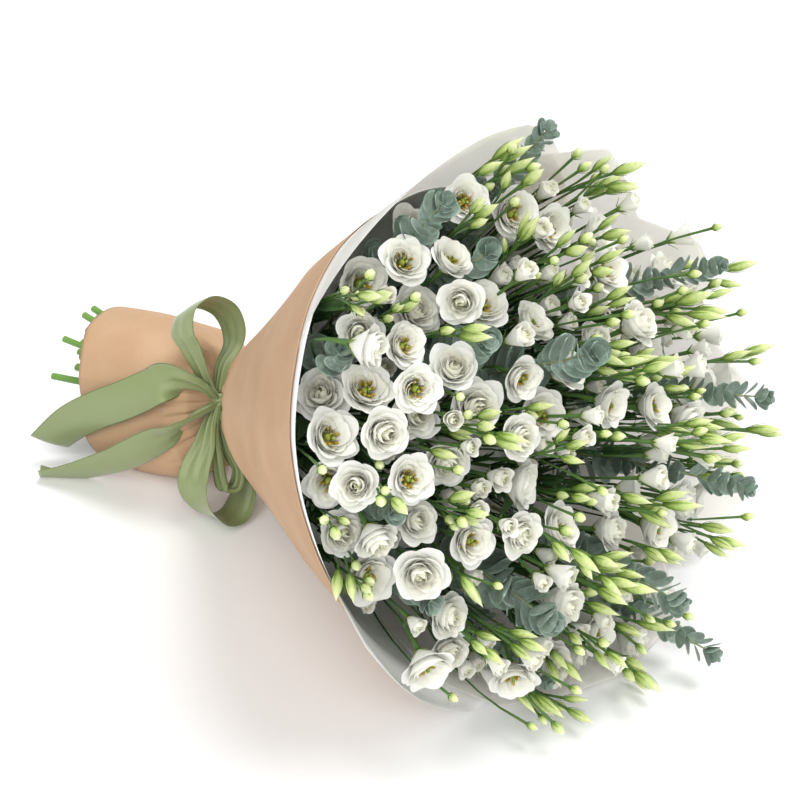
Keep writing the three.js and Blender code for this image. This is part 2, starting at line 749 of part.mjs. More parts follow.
// thin closed sheet between two like grids of points, split into triangles alike on both faces
function sheetOf(outer, inner, closed) {
  const columns = outer.length;
  const rows = outer[0].length;
  const points = [...outer.flat(), ...inner.flat()];
  const at = (face, i, j) => face * columns * rows + (i % columns) * rows + j;
  const triangles = [];
  const quad = (a, b, c, d) => triangles.push([a, b, c], [a, c, d]);
  const lastColumn = closed ? columns : columns - 1;
  for (let i = 0; i < lastColumn; i += 1) {
    for (let j = 0; j + 1 < rows; j += 1) {
      quad(at(0, i, j), at(0, i + 1, j), at(0, i + 1, j + 1), at(0, i, j + 1));
      triangles.push([at(1, i, j), at(1, i + 1, j + 1), at(1, i + 1, j)]);
      triangles.push([at(1, i, j), at(1, i, j + 1), at(1, i + 1, j + 1)]);
    }
    quad(at(0, i, 0), at(1, i, 0), at(1, i + 1, 0), at(0, i + 1, 0));
    quad(at(0, i, rows - 1), at(0, i + 1, rows - 1), at(1, i + 1, rows - 1), at(1, i, rows - 1));
  }
  if (!closed) {
    for (let j = 0; j + 1 < rows; j += 1) {
      const last = columns - 1;
      quad(at(0, 0, j), at(0, 0, j + 1), at(1, 0, j + 1), at(1, 0, j));
      quad(at(0, last, j), at(1, last, j), at(1, last, j + 1), at(0, last, j + 1));
    }
  }
  return geometryOf(points, triangles);
}

// ---------------------------------------------------------------- flowers and leaves

// open double flower on its branch: two whorls of five overlapping petals round a deep throat.
// Each petal rises from its overlapped edge to its free edge, as the petals of a pinwheel do.
// The first flower of a spray ends the stem itself.
function bloomSolid(bloom, stem, stemRadii) {
  const { facing, radius, base } = bloom;
  const path = [...stem.slice(0, -1), ...bloom.branch, bloom.centre];
  const radii = [...stemRadii.slice(0, -1), stem.length ? branchRadius : 1.1, 1, branchRadius, 1];
  const rings = pathRings(path, radii, stem.length ? 4 : 3).slice(0, -1);
  // the petals are counted from the branch's own first side, so that the skin doesn't twist
  const side = sub(rings[rings.length - 1][0], base);
  const first = unit(sub(side, scale(facing, dot(side, facing))));
  const second = cross(facing, first);
  const height = 2 * radius * bloomHeight;
  const whorl = (width, level, step, each = 1) => {
    const points = [];
    for (let i = 0; i < 10; i += each) {
      const free = i % 2;
      const angle = radians(bloom.spin - 36 + 36 * (i - free) + (free ? 47 : 4));
      const r = radius * width * (free ? 1 : 1 - step);
      const up = height * level * (free ? 1 : 1 - step * 0.6);
      points.push(add(base, add(scale(facing, up), add(
        scale(first, r * Math.cos(angle)),
        scale(second, r * Math.sin(angle)),
      ))));
    }
    return points;
  };
  return solidOf(loft([
    ...rings,
    whorl(1, 0.86, 0.2),
    whorl(0.42, 0.5, 0, 2),
    whorl(0.52, 1, 0.25),
    [add(base, scale(facing, height * 0.42))],
  ]));
}

// closed bud on its branch: a spindle, widest in its lower half
function budSolid(bud) {
  const path = [...bud.branch.slice(0, -1), bud.base, mix(bud.base, bud.tip, 0.4), bud.tip];
  const branch = pathRings(path.slice(0, -2), [0.9, 0.8, 0.9], 3);
  const belly = pathRings(path, [1, 1, 1, budRadius * bud.size, 1], 4)[3];
  return solidOf(loft([...branch, belly, [bud.tip]]));
}

function spraySolids(plant) {
  const radii = plant.path.map((point, i) => (i === 0 ? cutRadius : stemRadius));
  return [
    ...plant.blooms.map((bloom, i) => bloomSolid(bloom, i ? [] : plant.path, i ? [] : radii)),
    ...plant.budList.map(budSolid),
  ];
}

// round leaf as rings that go on from the four corners of the stem's face it grows from
function leafRings(leaf, foot) {
  const small = leaf.radius < smallLeaf;
  const outline = small ? [[1.1, 0.9]] : [[0.55, 0.82], [1.4, 0.9]];
  const thick = scale(leaf.normal, leafThickness / 2);
  const rings = outline.map(([reach, width]) => {
    const centre = add(leaf.base, scale(leaf.along, leafFoot + leaf.radius * reach));
    const wide = scale(leaf.wide, leaf.radius * width);
    return [
      sub(add(centre, wide), thick), sub(sub(centre, wide), thick),
      add(sub(centre, wide), thick), add(add(centre, wide), thick),
    ];
  });
  const tip = add(leaf.base, scale(leaf.along, leafFoot + leaf.radius * 2));
  return [foot, ...rings, [sub(tip, thick), add(tip, thick)]];
}

// frond as one skin: a square stem, and leaves that grow out of its faces in pairs
function frondSkin(plant) {
  const points = [];
  const triangles = [];
  const start = plant.path.slice(0, plant.leafFrom + 1);
  const last = start.length - 1;
  const square = (centre, direction, first, radius) => {
    const second = cross(direction, first);
    const half = radius * Math.SQRT1_2;
    return [[1, -1], [1, 1], [-1, 1], [-1, -1]].map(([x, y]) => (
      add(centre, add(scale(first, x * half), scale(second, y * half)))
    ));
  };
  const rows = [];
  let first = plant.pairs[0].first;
  for (let i = last; i >= 0; i -= 1) {
    const direction = unit(sub(start[Math.min(i + 1, last)], start[Math.max(i - 1, 0)]));
    first = unit(sub(first, scale(direction, dot(first, direction))));
    rows.unshift({ ring: square(start[i], direction, first, i === 0 ? cutRadius : stemRadius) });
  }
  plant.pairs.forEach((pair, k) => {
    const radius = stemRadius * (1 - 0.4 * (k + 1) / plant.pairs.length);
    const faces = pair.leaves.map((leaf) => (leaf.way > 0 ? 0 : 2));
    const half = scale(pair.direction, 1.1);
    // the corners keep their count round the stem, so that the skin doesn't twist
    const turn = (4 - k % 4) % 4;
    const swing = (list) => list.map((corner, i) => list[(i + turn) % 4]);
    const low = square(sub(pair.root, half), pair.direction, pair.first, radius);
    const high = square(add(pair.root, half), pair.direction, pair.first, radius);
    rows.push({ ring: swing(low), leaves: pair.leaves, faces: faces.map((f) => (f - turn + 4) % 4) });
    rows.push({ ring: swing(high) });
  });
  const tip = plant.path[plant.path.length - 1];
  rows.forEach((row) => {
    row.start = points.length;
    points.push(...row.ring);
  });
  rows.forEach((row, k) => {
    const next = rows[k + 1];
    if (!next) {
      return;
    }
    for (let i = 0; i < 4; i += 1) {
      const corners = [
        row.start + i, row.start + (i + 1) % 4,
        next.start + (i + 1) % 4, next.start + i,
      ];
      const leafIndex = row.leaves ? row.faces.indexOf(i) : -1;
      if (leafIndex < 0) {
        triangles.push([corners[0], corners[1], corners[2]], [corners[0], corners[2], corners[3]]);
      } else {
        const rings = leafRings(row.leaves[leafIndex], corners.map((c) => points[c]));
        let below = corners;
        for (const ringPoints of rings.slice(1)) {
          const above = ringPoints.map((point) => points.push(point) - 1);
          bridge(triangles, below, above);
          below = above;
        }
      }
    }
  });
  triangles.push([0, 2, 1], [0, 3, 2]);
  const end = points.push(tip) - 1;
  const top = rows[rows.length - 1].start;
  for (let i = 0; i < 4; i += 1) {
    triangles.push([top + i, top + (i + 1) % 4, end]);
  }
  return geometryOf(points, triangles);
}

// ---------------------------------------------------------------- paper, twine and ribbon

const footRow = -150;

// grid of points of the wrap, column by column; the first row of the kraft paper follows the
// skirt's rim, which is cut aslant, and the last row follows the paper's own rim
function paperGrid(columns, rows, turnOf, rimOf, depth) {
  const grid = [];
  for (let i = 0; i < columns; i += 1) {
    const turn = turnOf(i);
    const heights = rows.map((h) => (h === footRow ? kraftFoot(turn) : h));
    grid.push([...heights, rimOf(turn)].map((h) => wallPoint(h, turn, depth)));
  }
  return grid;
}

const kraftRows = [footRow, -90, -62, -34, -18, -6, 6, 16, 30, 60, 200, 250];
const liningRows = [16, 30, 60, 200, 250];
const sheetRows = [200, 250, 290];
const liningDepth = tissueDepth + sheetStep * liningLayer;
const columnAngle = 90 / pleats;

// whole ring of paper
function paperRing(rows, rimOf, depth, thickness) {
  const turnOf = (i) => columnAngle * i;
  return sheetOf(
    paperGrid(4 * pleats, rows, turnOf, rimOf, depth),
    paperGrid(4 * pleats, rows, turnOf, rimOf, depth + thickness),
    true,
  );
}

// loose tissue sheet behind the flowers, inside the kraft paper and above the lining
function tissueSheet(sheet) {
  const depth = tissueDepth + sheetStep * sheet.layer;
  const first = sheet.rim[0][0];
  const rim = sheet.rim.map(([turn, h]) => [(turn - first + 360) % 360, h]);
  const columns = Math.round(rim[rim.length - 1][0] / columnAngle) + 1;
  const turnOf = (i) => first + columnAngle * i;
  const rimOf = (turn) => lookup(rim, turn - first);
  return sheetOf(
    paperGrid(columns, sheetRows, turnOf, rimOf, depth),
    paperGrid(columns, sheetRows, turnOf, rimOf, depth + tissueThickness),
    false,
  );
}

// ring round the axis with a given outline of heights and radii
function hoop(outline, sides) {
  const points = [];
  const triangles = [];
  const count = outline.length;
  for (let i = 0; i < sides; i += 1) {
    outline.forEach(([h, r]) => points.push(around(h, r, 360 * i / sides)));
  }
  for (let i = 0; i < sides; i += 1) {
    const next = (i + 1) % sides;
    for (let j = 0; j < count; j += 1) {
      const up = (j + 1) % count;
      triangles.push([i * count + j, next * count + j, next * count + up]);
      triangles.push([i * count + j, next * count + up, i * count + up]);
    }
  }
  return geometryOf(points, triangles);
}

// ribbon through stations: each has a place, the way its outer face looks, and a width
function ribbonStrip(stations, steps) {
  const curve = new THREE.CatmullRomCurve3(stations.map((s) => new THREE.Vector3(...s.at)));
  const outer = [[], []];
  const inner = [[], []];
  for (let i = 0; i <= steps; i += 1) {
    const t = i / steps;
    const along = t * (stations.length - 1);
    const cell = Math.min(Math.floor(along), stations.length - 2);
    const share = along - cell;
    const point = curve.getPoint(t).toArray();
    const direction = curve.getTangent(t).toArray();
    const looks = mix(stations[cell].looks, stations[cell + 1].looks, share);
    const wide = unit(cross(direction, looks));
    const normal = cross(wide, direction);
    const half = (stations[cell].width * (1 - share) + stations[cell + 1].width * share) / 2;
    [-1, 1].forEach((edge, k) => {
      const place = add(point, scale(wide, edge * half));
      place[2] = Math.max(place[2], table + ribbonThickness);
      outer[k].push(place);
      inner[k].push(sub(place, scale(normal, ribbonThickness)));
    });
  }
  return solidOf(sheetOf(outer, inner, false));
}

function ribbonLoop(loop) {
  const centre = around(...loop.centre);
  return ribbonStrip(loop.points.map(([h, r, turn, open]) => {
    const at = around(h, r, turn);
    return { at, looks: unit(sub(at, centre)), width: open * ribbonWidth };
  }), loop.steps);
}

// a tail lies over the skirt, face out, and its end sinks towards the table, face up
function ribbonTail(tail) {
  return ribbonStrip(tail.points.map(([h, r, turn, open]) => {
    const at = around(h, r, turn);
    const out = around(0, 1, turn);
    const level = clamp((table + 34 - at[2]) / 34, 0, 1);
    const looks = unit(add(scale(out, 1 - level), [0, 0, level]));
    return { at, looks, width: open * ribbonWidth };
  }), tail.steps);
}

// the knot is a rounded lump on the band
function ribbonKnot() {
  const out = around(0, 1, knotTurn);
  const second = cross(axis, out);
  const centre = around(0, neckRadius + 6, knotTurn);
  const rings = [[-5.2, 4.5, 5], [-2, 6, 8], [3, 7.5, 8], [5.4, 4, 4]].map(([level, long, wide]) => (
    ring(add(centre, scale(out, level)), scale(axis, long), scale(second, wide), 1, 8)
  ));
  return solidOf(loft(rings));
}

function ribbonSolids() {
  const half = 5;
  const inside = neckRadius + 1;
  const outside = inside + ribbonThickness;
  const band = hoop([[-half, inside], [-half, outside], [half, outside], [half, inside]], 16);
  return [
    solidOf(band), ribbonKnot(), ...ribbonLoops.map(ribbonLoop), ...ribbonTails.map(ribbonTail),
  ];
}

// three turns of twine round the stems, lying together
function twineSolid() {
  const inside = 17.1;
  return solidOf(hoop([
    [-3.4, inside], [-3.4, 18.3], [-1.8, 18.7], [0, 18.2], [1.8, 18.7], [3.4, 18.3], [3.4, inside],
  ], 16));
}

const model = new THREE.Group();

function addNode(name, geometry, color, roughness, metalness = 0) {
  const material = new THREE.MeshStandardMaterial({ color, roughness, metalness });
  const mesh = new THREE.Mesh(geometry, material);
  mesh.name = name;
  model.add(mesh);
}

const plants = layOut();
plants.forEach((plant) => {
  const number = plant.leafy ? plant.index - sprays.length + 1 : plant.index + 1;
  const label = String(number).padStart(2, '0');
  if (plant.leafy) {
    addNode(`eucalyptus_${label}`, fused([solidOf(frondSkin(plant))]), 0x6f8f84, 0.7);
  } else {
    addNode(`lisianthus_${label}`, fused(spraySolids(plant)), 0xf3f3ec, 0.6);
  }
});

addNode('kraft_wrap', paperRing(kraftRows, kraftRim, 0, paperThickness), 0xc9a688, 0.85);
addNode('ivory_lining', paperRing(liningRows, liningRim, liningDepth, tissueThickness), 0xece8e4, 0.7);
tissueSheets.forEach((sheet) => addNode(sheet.name, tissueSheet(sheet), 0xece8e4, 0.7));
addNode('binding_twine', fused([twineSolid()]), 0xb08a58, 0.9);
addNode('satin_ribbon', fused(ribbonSolids()), 0x9cab7c, 0.35);

const box = new THREE.Box3().setFromObject(model);
const middle = box.getCenter(new THREE.Vector3());
model.position.set(-middle.x, -middle.y, tieHeight);

export default model;
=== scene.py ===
import math
from types import SimpleNamespace
import bpy
import numpy as np
from mathutils import Matrix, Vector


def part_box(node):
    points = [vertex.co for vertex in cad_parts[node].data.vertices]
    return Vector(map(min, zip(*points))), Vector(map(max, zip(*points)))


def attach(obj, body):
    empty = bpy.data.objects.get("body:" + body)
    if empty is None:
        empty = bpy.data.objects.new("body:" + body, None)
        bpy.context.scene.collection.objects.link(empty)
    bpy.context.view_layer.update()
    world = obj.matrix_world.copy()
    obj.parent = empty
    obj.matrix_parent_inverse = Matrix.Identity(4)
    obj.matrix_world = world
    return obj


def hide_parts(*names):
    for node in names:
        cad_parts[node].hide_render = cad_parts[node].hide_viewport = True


# A hand-tied bouquet of white lisianthus and eucalyptus in ivory and kraft paper with a satin bow.
# The layout is worked out in mm round the tie, where all stems cross, as in the part's own source.

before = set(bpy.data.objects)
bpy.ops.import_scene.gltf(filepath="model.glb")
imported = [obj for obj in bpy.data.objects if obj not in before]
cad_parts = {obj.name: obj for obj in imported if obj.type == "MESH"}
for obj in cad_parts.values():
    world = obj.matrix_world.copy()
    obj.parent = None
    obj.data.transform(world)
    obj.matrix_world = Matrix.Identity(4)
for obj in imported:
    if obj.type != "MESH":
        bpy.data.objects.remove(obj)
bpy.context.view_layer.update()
scene = bpy.context.scene
twineLow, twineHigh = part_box("binding_twine")
tie = np.array((twineLow + twineHigh) / 2)  # metres

# camera

cameraPlace = {"azimuth": 38, "elevation": 35, "distance": 1.454, "aside": 0.1514, "lens": 70, "sensor": 36,
               "nearest": 0.05, "farthest": 20}


def turnedTo(side, rise, back, spot):  # where a camera or a lamp stands, with its back to the given way
    return Matrix([[side[i], rise[i], back[i], spot[i]] for i in range(3)] + [[0, 0, 0, 1]])


def placeCamera(place):
    a, e = math.radians(place["azimuth"]), math.radians(place["elevation"])
    back = np.array([math.sin(a) * math.cos(e), -math.cos(a) * math.cos(e), math.sin(e)])
    right = np.array([math.cos(a), math.sin(a), 0])
    spot = tie + back * place["distance"] + right * place["aside"]
    data = bpy.data.cameras.new("camera")
    data.lens, data.sensor_width = place["lens"], place["sensor"]
    data.clip_start, data.clip_end = place["nearest"], place["farthest"]
    camera = bpy.data.objects.new("camera", data)
    camera.matrix_world = turnedTo(right, np.cross(back, right), back, spot)
    scene.collection.objects.link(camera)
    scene.camera = camera


placeCamera(cameraPlace)
print("camera placed")

# small maths


def norm(a):
    return math.sqrt(float(a @ a))


def unit(a):
    return a / norm(a)


def squareTo(a, line):  # the direction a, turned until it is square to the line
    return unit(a - line * float(a @ line))


def mix(a, b, t):
    return a * (1 - t) + b * t


def smooth(x):
    x = np.clip(x, 0, 1)
    return x * x * (3 - 2 * x)


def lookup(table, x):
    return np.interp(x, [row[0] for row in table], [row[1] for row in table])


def cross(a, b):
    return np.array([a[1] * b[2] - a[2] * b[1], a[2] * b[0] - a[0] * b[2], a[0] * b[1] - a[1] * b[0]])


def makeRandom(seed):  # the same repeatable numbers from 0 to 1 as in the part's source
    factor, step, span = 1664525, 1013904223, 4294967296
    state = [seed]

    def draw():
        state[0] = (state[0] * factor + step) % span
        return state[0] / span

    return draw


def drawn(random, span):  # a random number from the span's first value on, in a range as wide as its second
    return span[0] + span[1] * random()


def nudge(random):  # a small step any way
    return np.array([random() - 0.5, random() - 0.5, random() - 0.5])


# the bouquet's axes and the surface of its wrap

bouquet = {
    "seed": 41, "tieHeight": 96, "axisTilt": 15, "gap": 0.3, "neckRadius": 20, "pleats": 8,
    "bundleRadius": 14.6, "stemSpacing": 4.1, "stemRadius": 1.75, "cutRadius": 3.4, "stemRounds": 300,
    "lowSpread": 0.0185, "headSpread": 0.036, "spreadEase": 60, "lowLift": 24, "lowReach": 190,
    "shortestEnd": 160, "endRange": 56, "branchShare": 0.7, "leafShare": 0.62, "spineSteps": 5,
    "smallBloom": 17, "bloomRange": 4, "bloomAir": 0.8, "clusterRadius": 26,
    "branchRadius": 1.3, "budBranch": 1, "budRadius": 4.7, "budLength": 25,
    "paperMargin": 7, "tableMargin": 1,
}
wallBulges = {"aboveTurn": 25, "above": 0.17, "aboveEase": 200, "belowTurn": 125, "below": 0.07,
              "belowEase": 120, "underTurn": -10, "under": 0.34, "underEase": 60, "top": 0.1, "topEase": 120}
kraftCut = {"foot": -150, "footSlant": 22, "footTurn": -20, "rim": 272, "rimSlant": 26, "rimTurn": 150}
wallProfile = [  # height along the axis, radius
    (-150, 66), (-90, 65), (-34, 61), (-18, 49), (-6, 20),
    (6, 20), (16, 36), (30, 50), (60, 75), (200, 157), (460, 291),
]
pleatDepth = [(-90, 0), (-18, 2), (-6, 0), (6, 0), (16, 2), (30, 1.6), (60, 0)]
# for each turn, how far the lining stands past the kraft, and the height of the topmost paper's rim
liningPast = [(0, 16), (40, 11), (75, 7), (100, 13), (125, 22), (160, 22), (200, 16), (280, 14), (360, 16)]
paperTop = [
    (0, 345), (22.5, 314), (45, 280), (67.5, 282), (90, 298), (112.5, 306), (135, 308),
    (157.5, 338), (180, 378), (213.75, 380), (236.25, 400), (258.75, 390), (292.5, 378),
    (315, 346), (337.5, 352), (360, 345),
]
tilt = math.radians(bouquet["axisTilt"])
axis = np.array([math.cos(tilt), 0, math.sin(tilt)])
over = np.array([-math.sin(tilt), 0, math.cos(tilt)])
near = np.array([0.0, -1.0, 0.0])
tableLevel = -bouquet["tieHeight"]


def across(h, x, y):
    return np.multiply.outer(h, axis) + np.multiply.outer(x, over) + np.multiply.outer(y, near)


def around(h, r, turn):  # height along the axis, radius, and turn with 0 on top and 90 near the viewer
    a = np.radians(turn)
    return across(h, r * np.cos(a), r * np.sin(a))


def cylindrical(point):
    x, y = float(point @ over), float(point @ near)
    return float(point @ axis), math.hypot(x, y), math.degrees(math.atan2(y, x)) % 360


def wallRadius(h, turn):  # the cone bulges above and is drawn in below; the skirt bulges under and on top
    look = wallBulges
    above = np.maximum(np.cos(np.radians(turn - look["aboveTurn"])), 0)
    below = np.maximum(np.cos(np.radians(turn - look["belowTurn"])), 0)
    under = np.maximum(-np.cos(np.radians(turn - look["underTurn"])), 0)
    top = np.maximum(np.cos(np.radians(turn)), 0)
    r = lookup(wallProfile, h)
    r = r * (1 + look["above"] * above * np.sqrt(above) * np.clip(h / look["aboveEase"], 0, 1))
    r = r * (1 - look["below"] * below * np.clip(h / look["belowEase"], 0, 1))
    r = r * (1 + look["under"] * under * np.clip(-h / look["underEase"], 0, 1))
    r = r * (1 + look["top"] * top * top * np.clip(-h / look["topEase"], 0, 1))
    return r + lookup(pleatDepth, h) * np.cos(np.radians(turn * bouquet["pleats"]))


def wallPoint(h, turn, depth):  # on the wrap, or at a depth under its surface
    slope = (wallRadius(h + 1, turn) - wallRadius(h - 1, turn)) / 2
    level = 1 / np.sqrt(1 + slope * slope)
    point = around(h + depth * slope * level, wallRadius(h, turn) - depth * level, turn)
    point[..., 2] = np.maximum(point[..., 2], tableLevel + np.maximum(depth, 0))
    return point


def kraftFoot(turn):  # the skirt is cut aslant
    slant = np.maximum(np.cos(np.radians(turn - kraftCut["footTurn"])), 0) ** 2
    return kraftCut["foot"] - kraftCut["footSlant"] * slant


def kraftRim(turn):
    return kraftCut["rim"] + kraftCut["rimSlant"] * np.cos(np.radians(turn - kraftCut["rimTurn"]))


def liningRim(turn):
    return kraftRim(turn) + lookup(liningPast, turn)


# where every stem, bloom, leaf and bud lies

sprays = [  # turn, tilt and reach of the head, blooms, buds, extra stem below, extra spin
    (32, 33, 360, 3, 3, 0, 10), (56, 33, 358, 3, 3, 0, 0), (46, 29, 368, 3, 3, 0, 0),
    (44, 21, 378, 3, 3, 0, 0), (71, 30, 362, 3, 3, 0, 0), (66, 23, 374, 2, 3, 0, 0),
    (88, 30, 366, 3, 3, 0, 0), (84, 20, 378, 2, 2, 0, 0), (116, 26, 384, 3, 4, 0, 0),
    (24, 30, 372, 3, 3, 0, 0), (12, 33, 378, 2, 3, 0, 0), (356, 32, 386, 2, 4, 0, 0),
    (4, 22, 388, 2, 3, 0, 0), (332, 28, 402, 2, 3, 0, 0), (330, 18, 402, 3, 3, 0, 0),
    (35, 12, 388, 3, 2, 2, 0), (345, 9, 396, 2, 3, 0, 0), (100, 10, 392, 3, 2, 0, 0),
    (150, 24, 405, 2, 4, 0, 0), (182, 22, 420, 2, 3, 0, 0), (305, 17, 410, 2, 4, 0, 0),
    (270, 13, 416, 2, 4, 0, 10), (205, 11, 412, 3, 3, 0, 0), (232, 22, 428, 2, 4, 0, 0),
    (262, 26, 432, 2, 3, 0, 0), (292, 27, 424, 2, 3, 0, 0), (146, 15, 400, 1, 5, 0, 0),
]
fronds = [  # turn, tilt and reach of the tip, widest leaf, pairs, sag of the tip, extra stem below
    (42, 35, 368, 15, 4, 0, 0), (14, 35, 430, 13, 6, 0, 0), (8, 28, 402, 15, 5, 0, 0),
    (26, 22, 396, 16, 5, 0, 0), (12, 15, 445, 17, 6, 0, 0), (349, 35, 452, 11, 8, 0, 0),
    (304, 24, 474, 12, 7, 5, 7), (268, 19, 488, 12, 7, 6, 0), (240, 17, 478, 13, 7, 8, 0),
    (122, 15, 422, 17, 6, 26, 0), (75, 27, 382, 14, 5, 0, 0), (102, 25, 384, 14, 5, 4, 0),
    (178, 12, 470, 15, 7, 12, 0), (192, 22, 492, 12, 7, 8, 0), (152, 25, 415, 10, 5, 0, 0),
]


def spread(h):  # how far the stems' spiral has turned at a height
    curve = bouquet["headSpread"] * h * h / (h + bouquet["spreadEase"]) if h > 0 else 0
    return bouquet["lowSpread"] * h + curve


def stemPoint(plant, h):  # all stems turn about the axis together as they cross at the tie
    g = spread(h)
    x, y = plant.place
    lift = -bouquet["lowLift"] * h / bouquet["lowReach"] if h < 0 else 0
    bend = (h / plant.h) ** 2 if h > 0 else 0
    return across(h, x - g * y + lift + bend * plant.bend[0], y + g * x + bend * plant.bend[1])


def headPlace(head):  # height along the axis, and where across it
    h, d = head.reach * math.cos(math.radians(head.tilt)), head.reach * math.sin(math.radians(head.tilt))
    return h, d * math.cos(math.radians(head.turn)), d * math.sin(math.radians(head.turn))


def placeStems(heads):  # where each stem crosses the tie, moved apart until all have room
    places = []
    for head in heads:
        h, x, y = headPlace(head)
        g = spread(h)
        places.append([(x + g * y) / (1 + g * g), (y - g * x) / (1 + g * g)])
    spacing, bundle = bouquet["stemSpacing"], bouquet["bundleRadius"]
    for _ in range(bouquet["stemRounds"]):
        for i in range(len(places)):
            for j in range(i + 1, len(places)):
                dx, dy = places[j][0] - places[i][0], places[j][1] - places[i][1]
                apart = math.sqrt(dx * dx + dy * dy)
                if apart < spacing:
                    push = (spacing - apart) / apart / 2
                    places[i] = [places[i][0] - dx * push, places[i][1] - dy * push]
                    places[j] = [places[j][0] + dx * push, places[j][1] + dy * push]
        for i, (x, y) in enumerate(places):
            r = math.sqrt(x * x + y * y)
            if r > bundle:
                places[i] = [x * bundle / r, y * bundle / r]
    return places


# capsules that say where pieces already are

most, farOff, tiny = 9000, 1000, 1e-9
taken = SimpleNamespace(
    a=np.zeros((most, 3)), b=np.zeros((most, 3)), radius=np.zeros(most), owner=np.zeros(most, int),
    stem=np.zeros(most, bool), item=np.zeros(most, int), count=0)


def take(a, b, radius, owner, stem=False, item=0):
    n = taken.count
    taken.a[n], taken.b[n], taken.radius[n] = a, b, radius
    taken.owner[n], taken.stem[n], taken.item[n] = owner, stem, item
    taken.count = n + 1


def room(a, b, radius, ignored=None):  # least distance of a capsule to what has been taken
    n = taken.count
    u, v, w = b - a, taken.b[:n] - taken.a[:n], a - taken.a[:n]
    uu, uv, vv = float(u @ u) + tiny, v @ u, (v * v).sum(1) + tiny
    uw, vw = w @ u, (v * w).sum(1)
    s = np.clip((uv * vw - vv * uw) / (uu * vv - uv * uv + tiny), 0, 1)
    t = np.clip((uv * s + vw) / vv, 0, 1)
    s = np.clip((uv * t - uw) / uu, 0, 1)
    line = (a + s[:, None] * u) - (taken.a[:n] + t[:, None] * v)
    away = np.sqrt((line * line).sum(1)) - radius - taken.radius[:n]
    if ignored is not None:
        away = away[~ignored]
    return float(min(away.min(), farOff)) if len(away) else farOff


def pathRoom(points, radius, owner, item):
    n = taken.count
    mine = taken.owner[:n] == owner
    own = mine & (taken.stem[:n] | (taken.item[:n] == item))
    least = room(points[0], points[1], radius, mine)
    for i in range(2, len(points)):
        least = min(least, room(points[i - 1], points[i], radius, own))
    return least


def paperRoom(point, radius):  # least distance of a ball to the paper, up to its rim, and to the table
    h, r, turn = cylindrical(point)
    top, step = float(lookup(paperTop, turn)), 60
    rimRadius = float(wallRadius(top, turn))
    slope = (rimRadius - float(wallRadius(top - step, turn))) / step
    long = math.sqrt(1 + slope * slope)
    past = ((h - top) + (r - rimRadius) * slope) / long
    inside = ((h - top) * slope - (r - rimRadius)) / long
    away = inside if past < 0 else math.hypot(past, inside)
    low = point[2] - tableLevel - radius - bouquet["paperMargin" if past < 0 else "tableMargin"]
    return min(away - bouquet["paperMargin"] - radius, low)


def crossDirections(direction):
    first = unit(cross(direction, near if abs(direction[1]) < 0.8 else over))
    return first, cross(direction, first)


def headDirection(plant, h):
    return unit(stemPoint(plant, h + 10) - stemPoint(plant, h - 10))


def besideHead(plant, rise, out, angle):  # a place round the top of a spray's stem
    first, second = crossDirections(headDirection(plant, plant.h))
    return stemPoint(plant, plant.h + rise) + (first * out * math.cos(angle) + second * out * math.sin(angle))


branches = {"pull": 0.4, "coarse": 2, "fine": 8, "leaving": 0.55,
            "trials": 30, "rootStep": 11, "rootStart": 7, "rootRange": 5, "nod": 0.06, "neck": 0.95}


def branchCurve(root, leaving, end, facing, steps):
    reach = norm(end - root)
    first, second = root + leaving * reach * branches["pull"], end - facing * reach * branches["pull"]
    points = []
    for i in range(steps + 1):
        t = i / steps
        a = mix(mix(root, first, t), mix(first, second, t), t)
        b = mix(mix(first, second, t), mix(second, end, t), t)
        points.append(mix(a, b, t))
    return points


def stemSpot(plant, back):
    before, last = plant.path[-2], plant.path[-1]
    return mix(last, before, min(back / norm(last - before), 1))


def leavingDirection(plant, root, end):
    stem = headDirection(plant, plant.top)
    return unit(stem + squareTo(end - root, stem) * branches["leaving"])


blooming = {"turnRange": 0.25, "loneOut": 6, "riseRange": 24, "roomShare": 1.04, "rounds": 120,
            "postNear": 12, "postAir": 8, "homing": 0.01, "ahead": 30, "lean": 0.8, "spinRange": 72}


def pushFromPosts(bloom, posts):  # flowers keep off the leafy stems
    for post in posts:
        line = bloom.centre - post
        apart = norm(line)
        short = bloom.room + blooming["postAir"] - apart
        if short > 0:
            bloom.centre = bloom.centre + line * (short / apart)


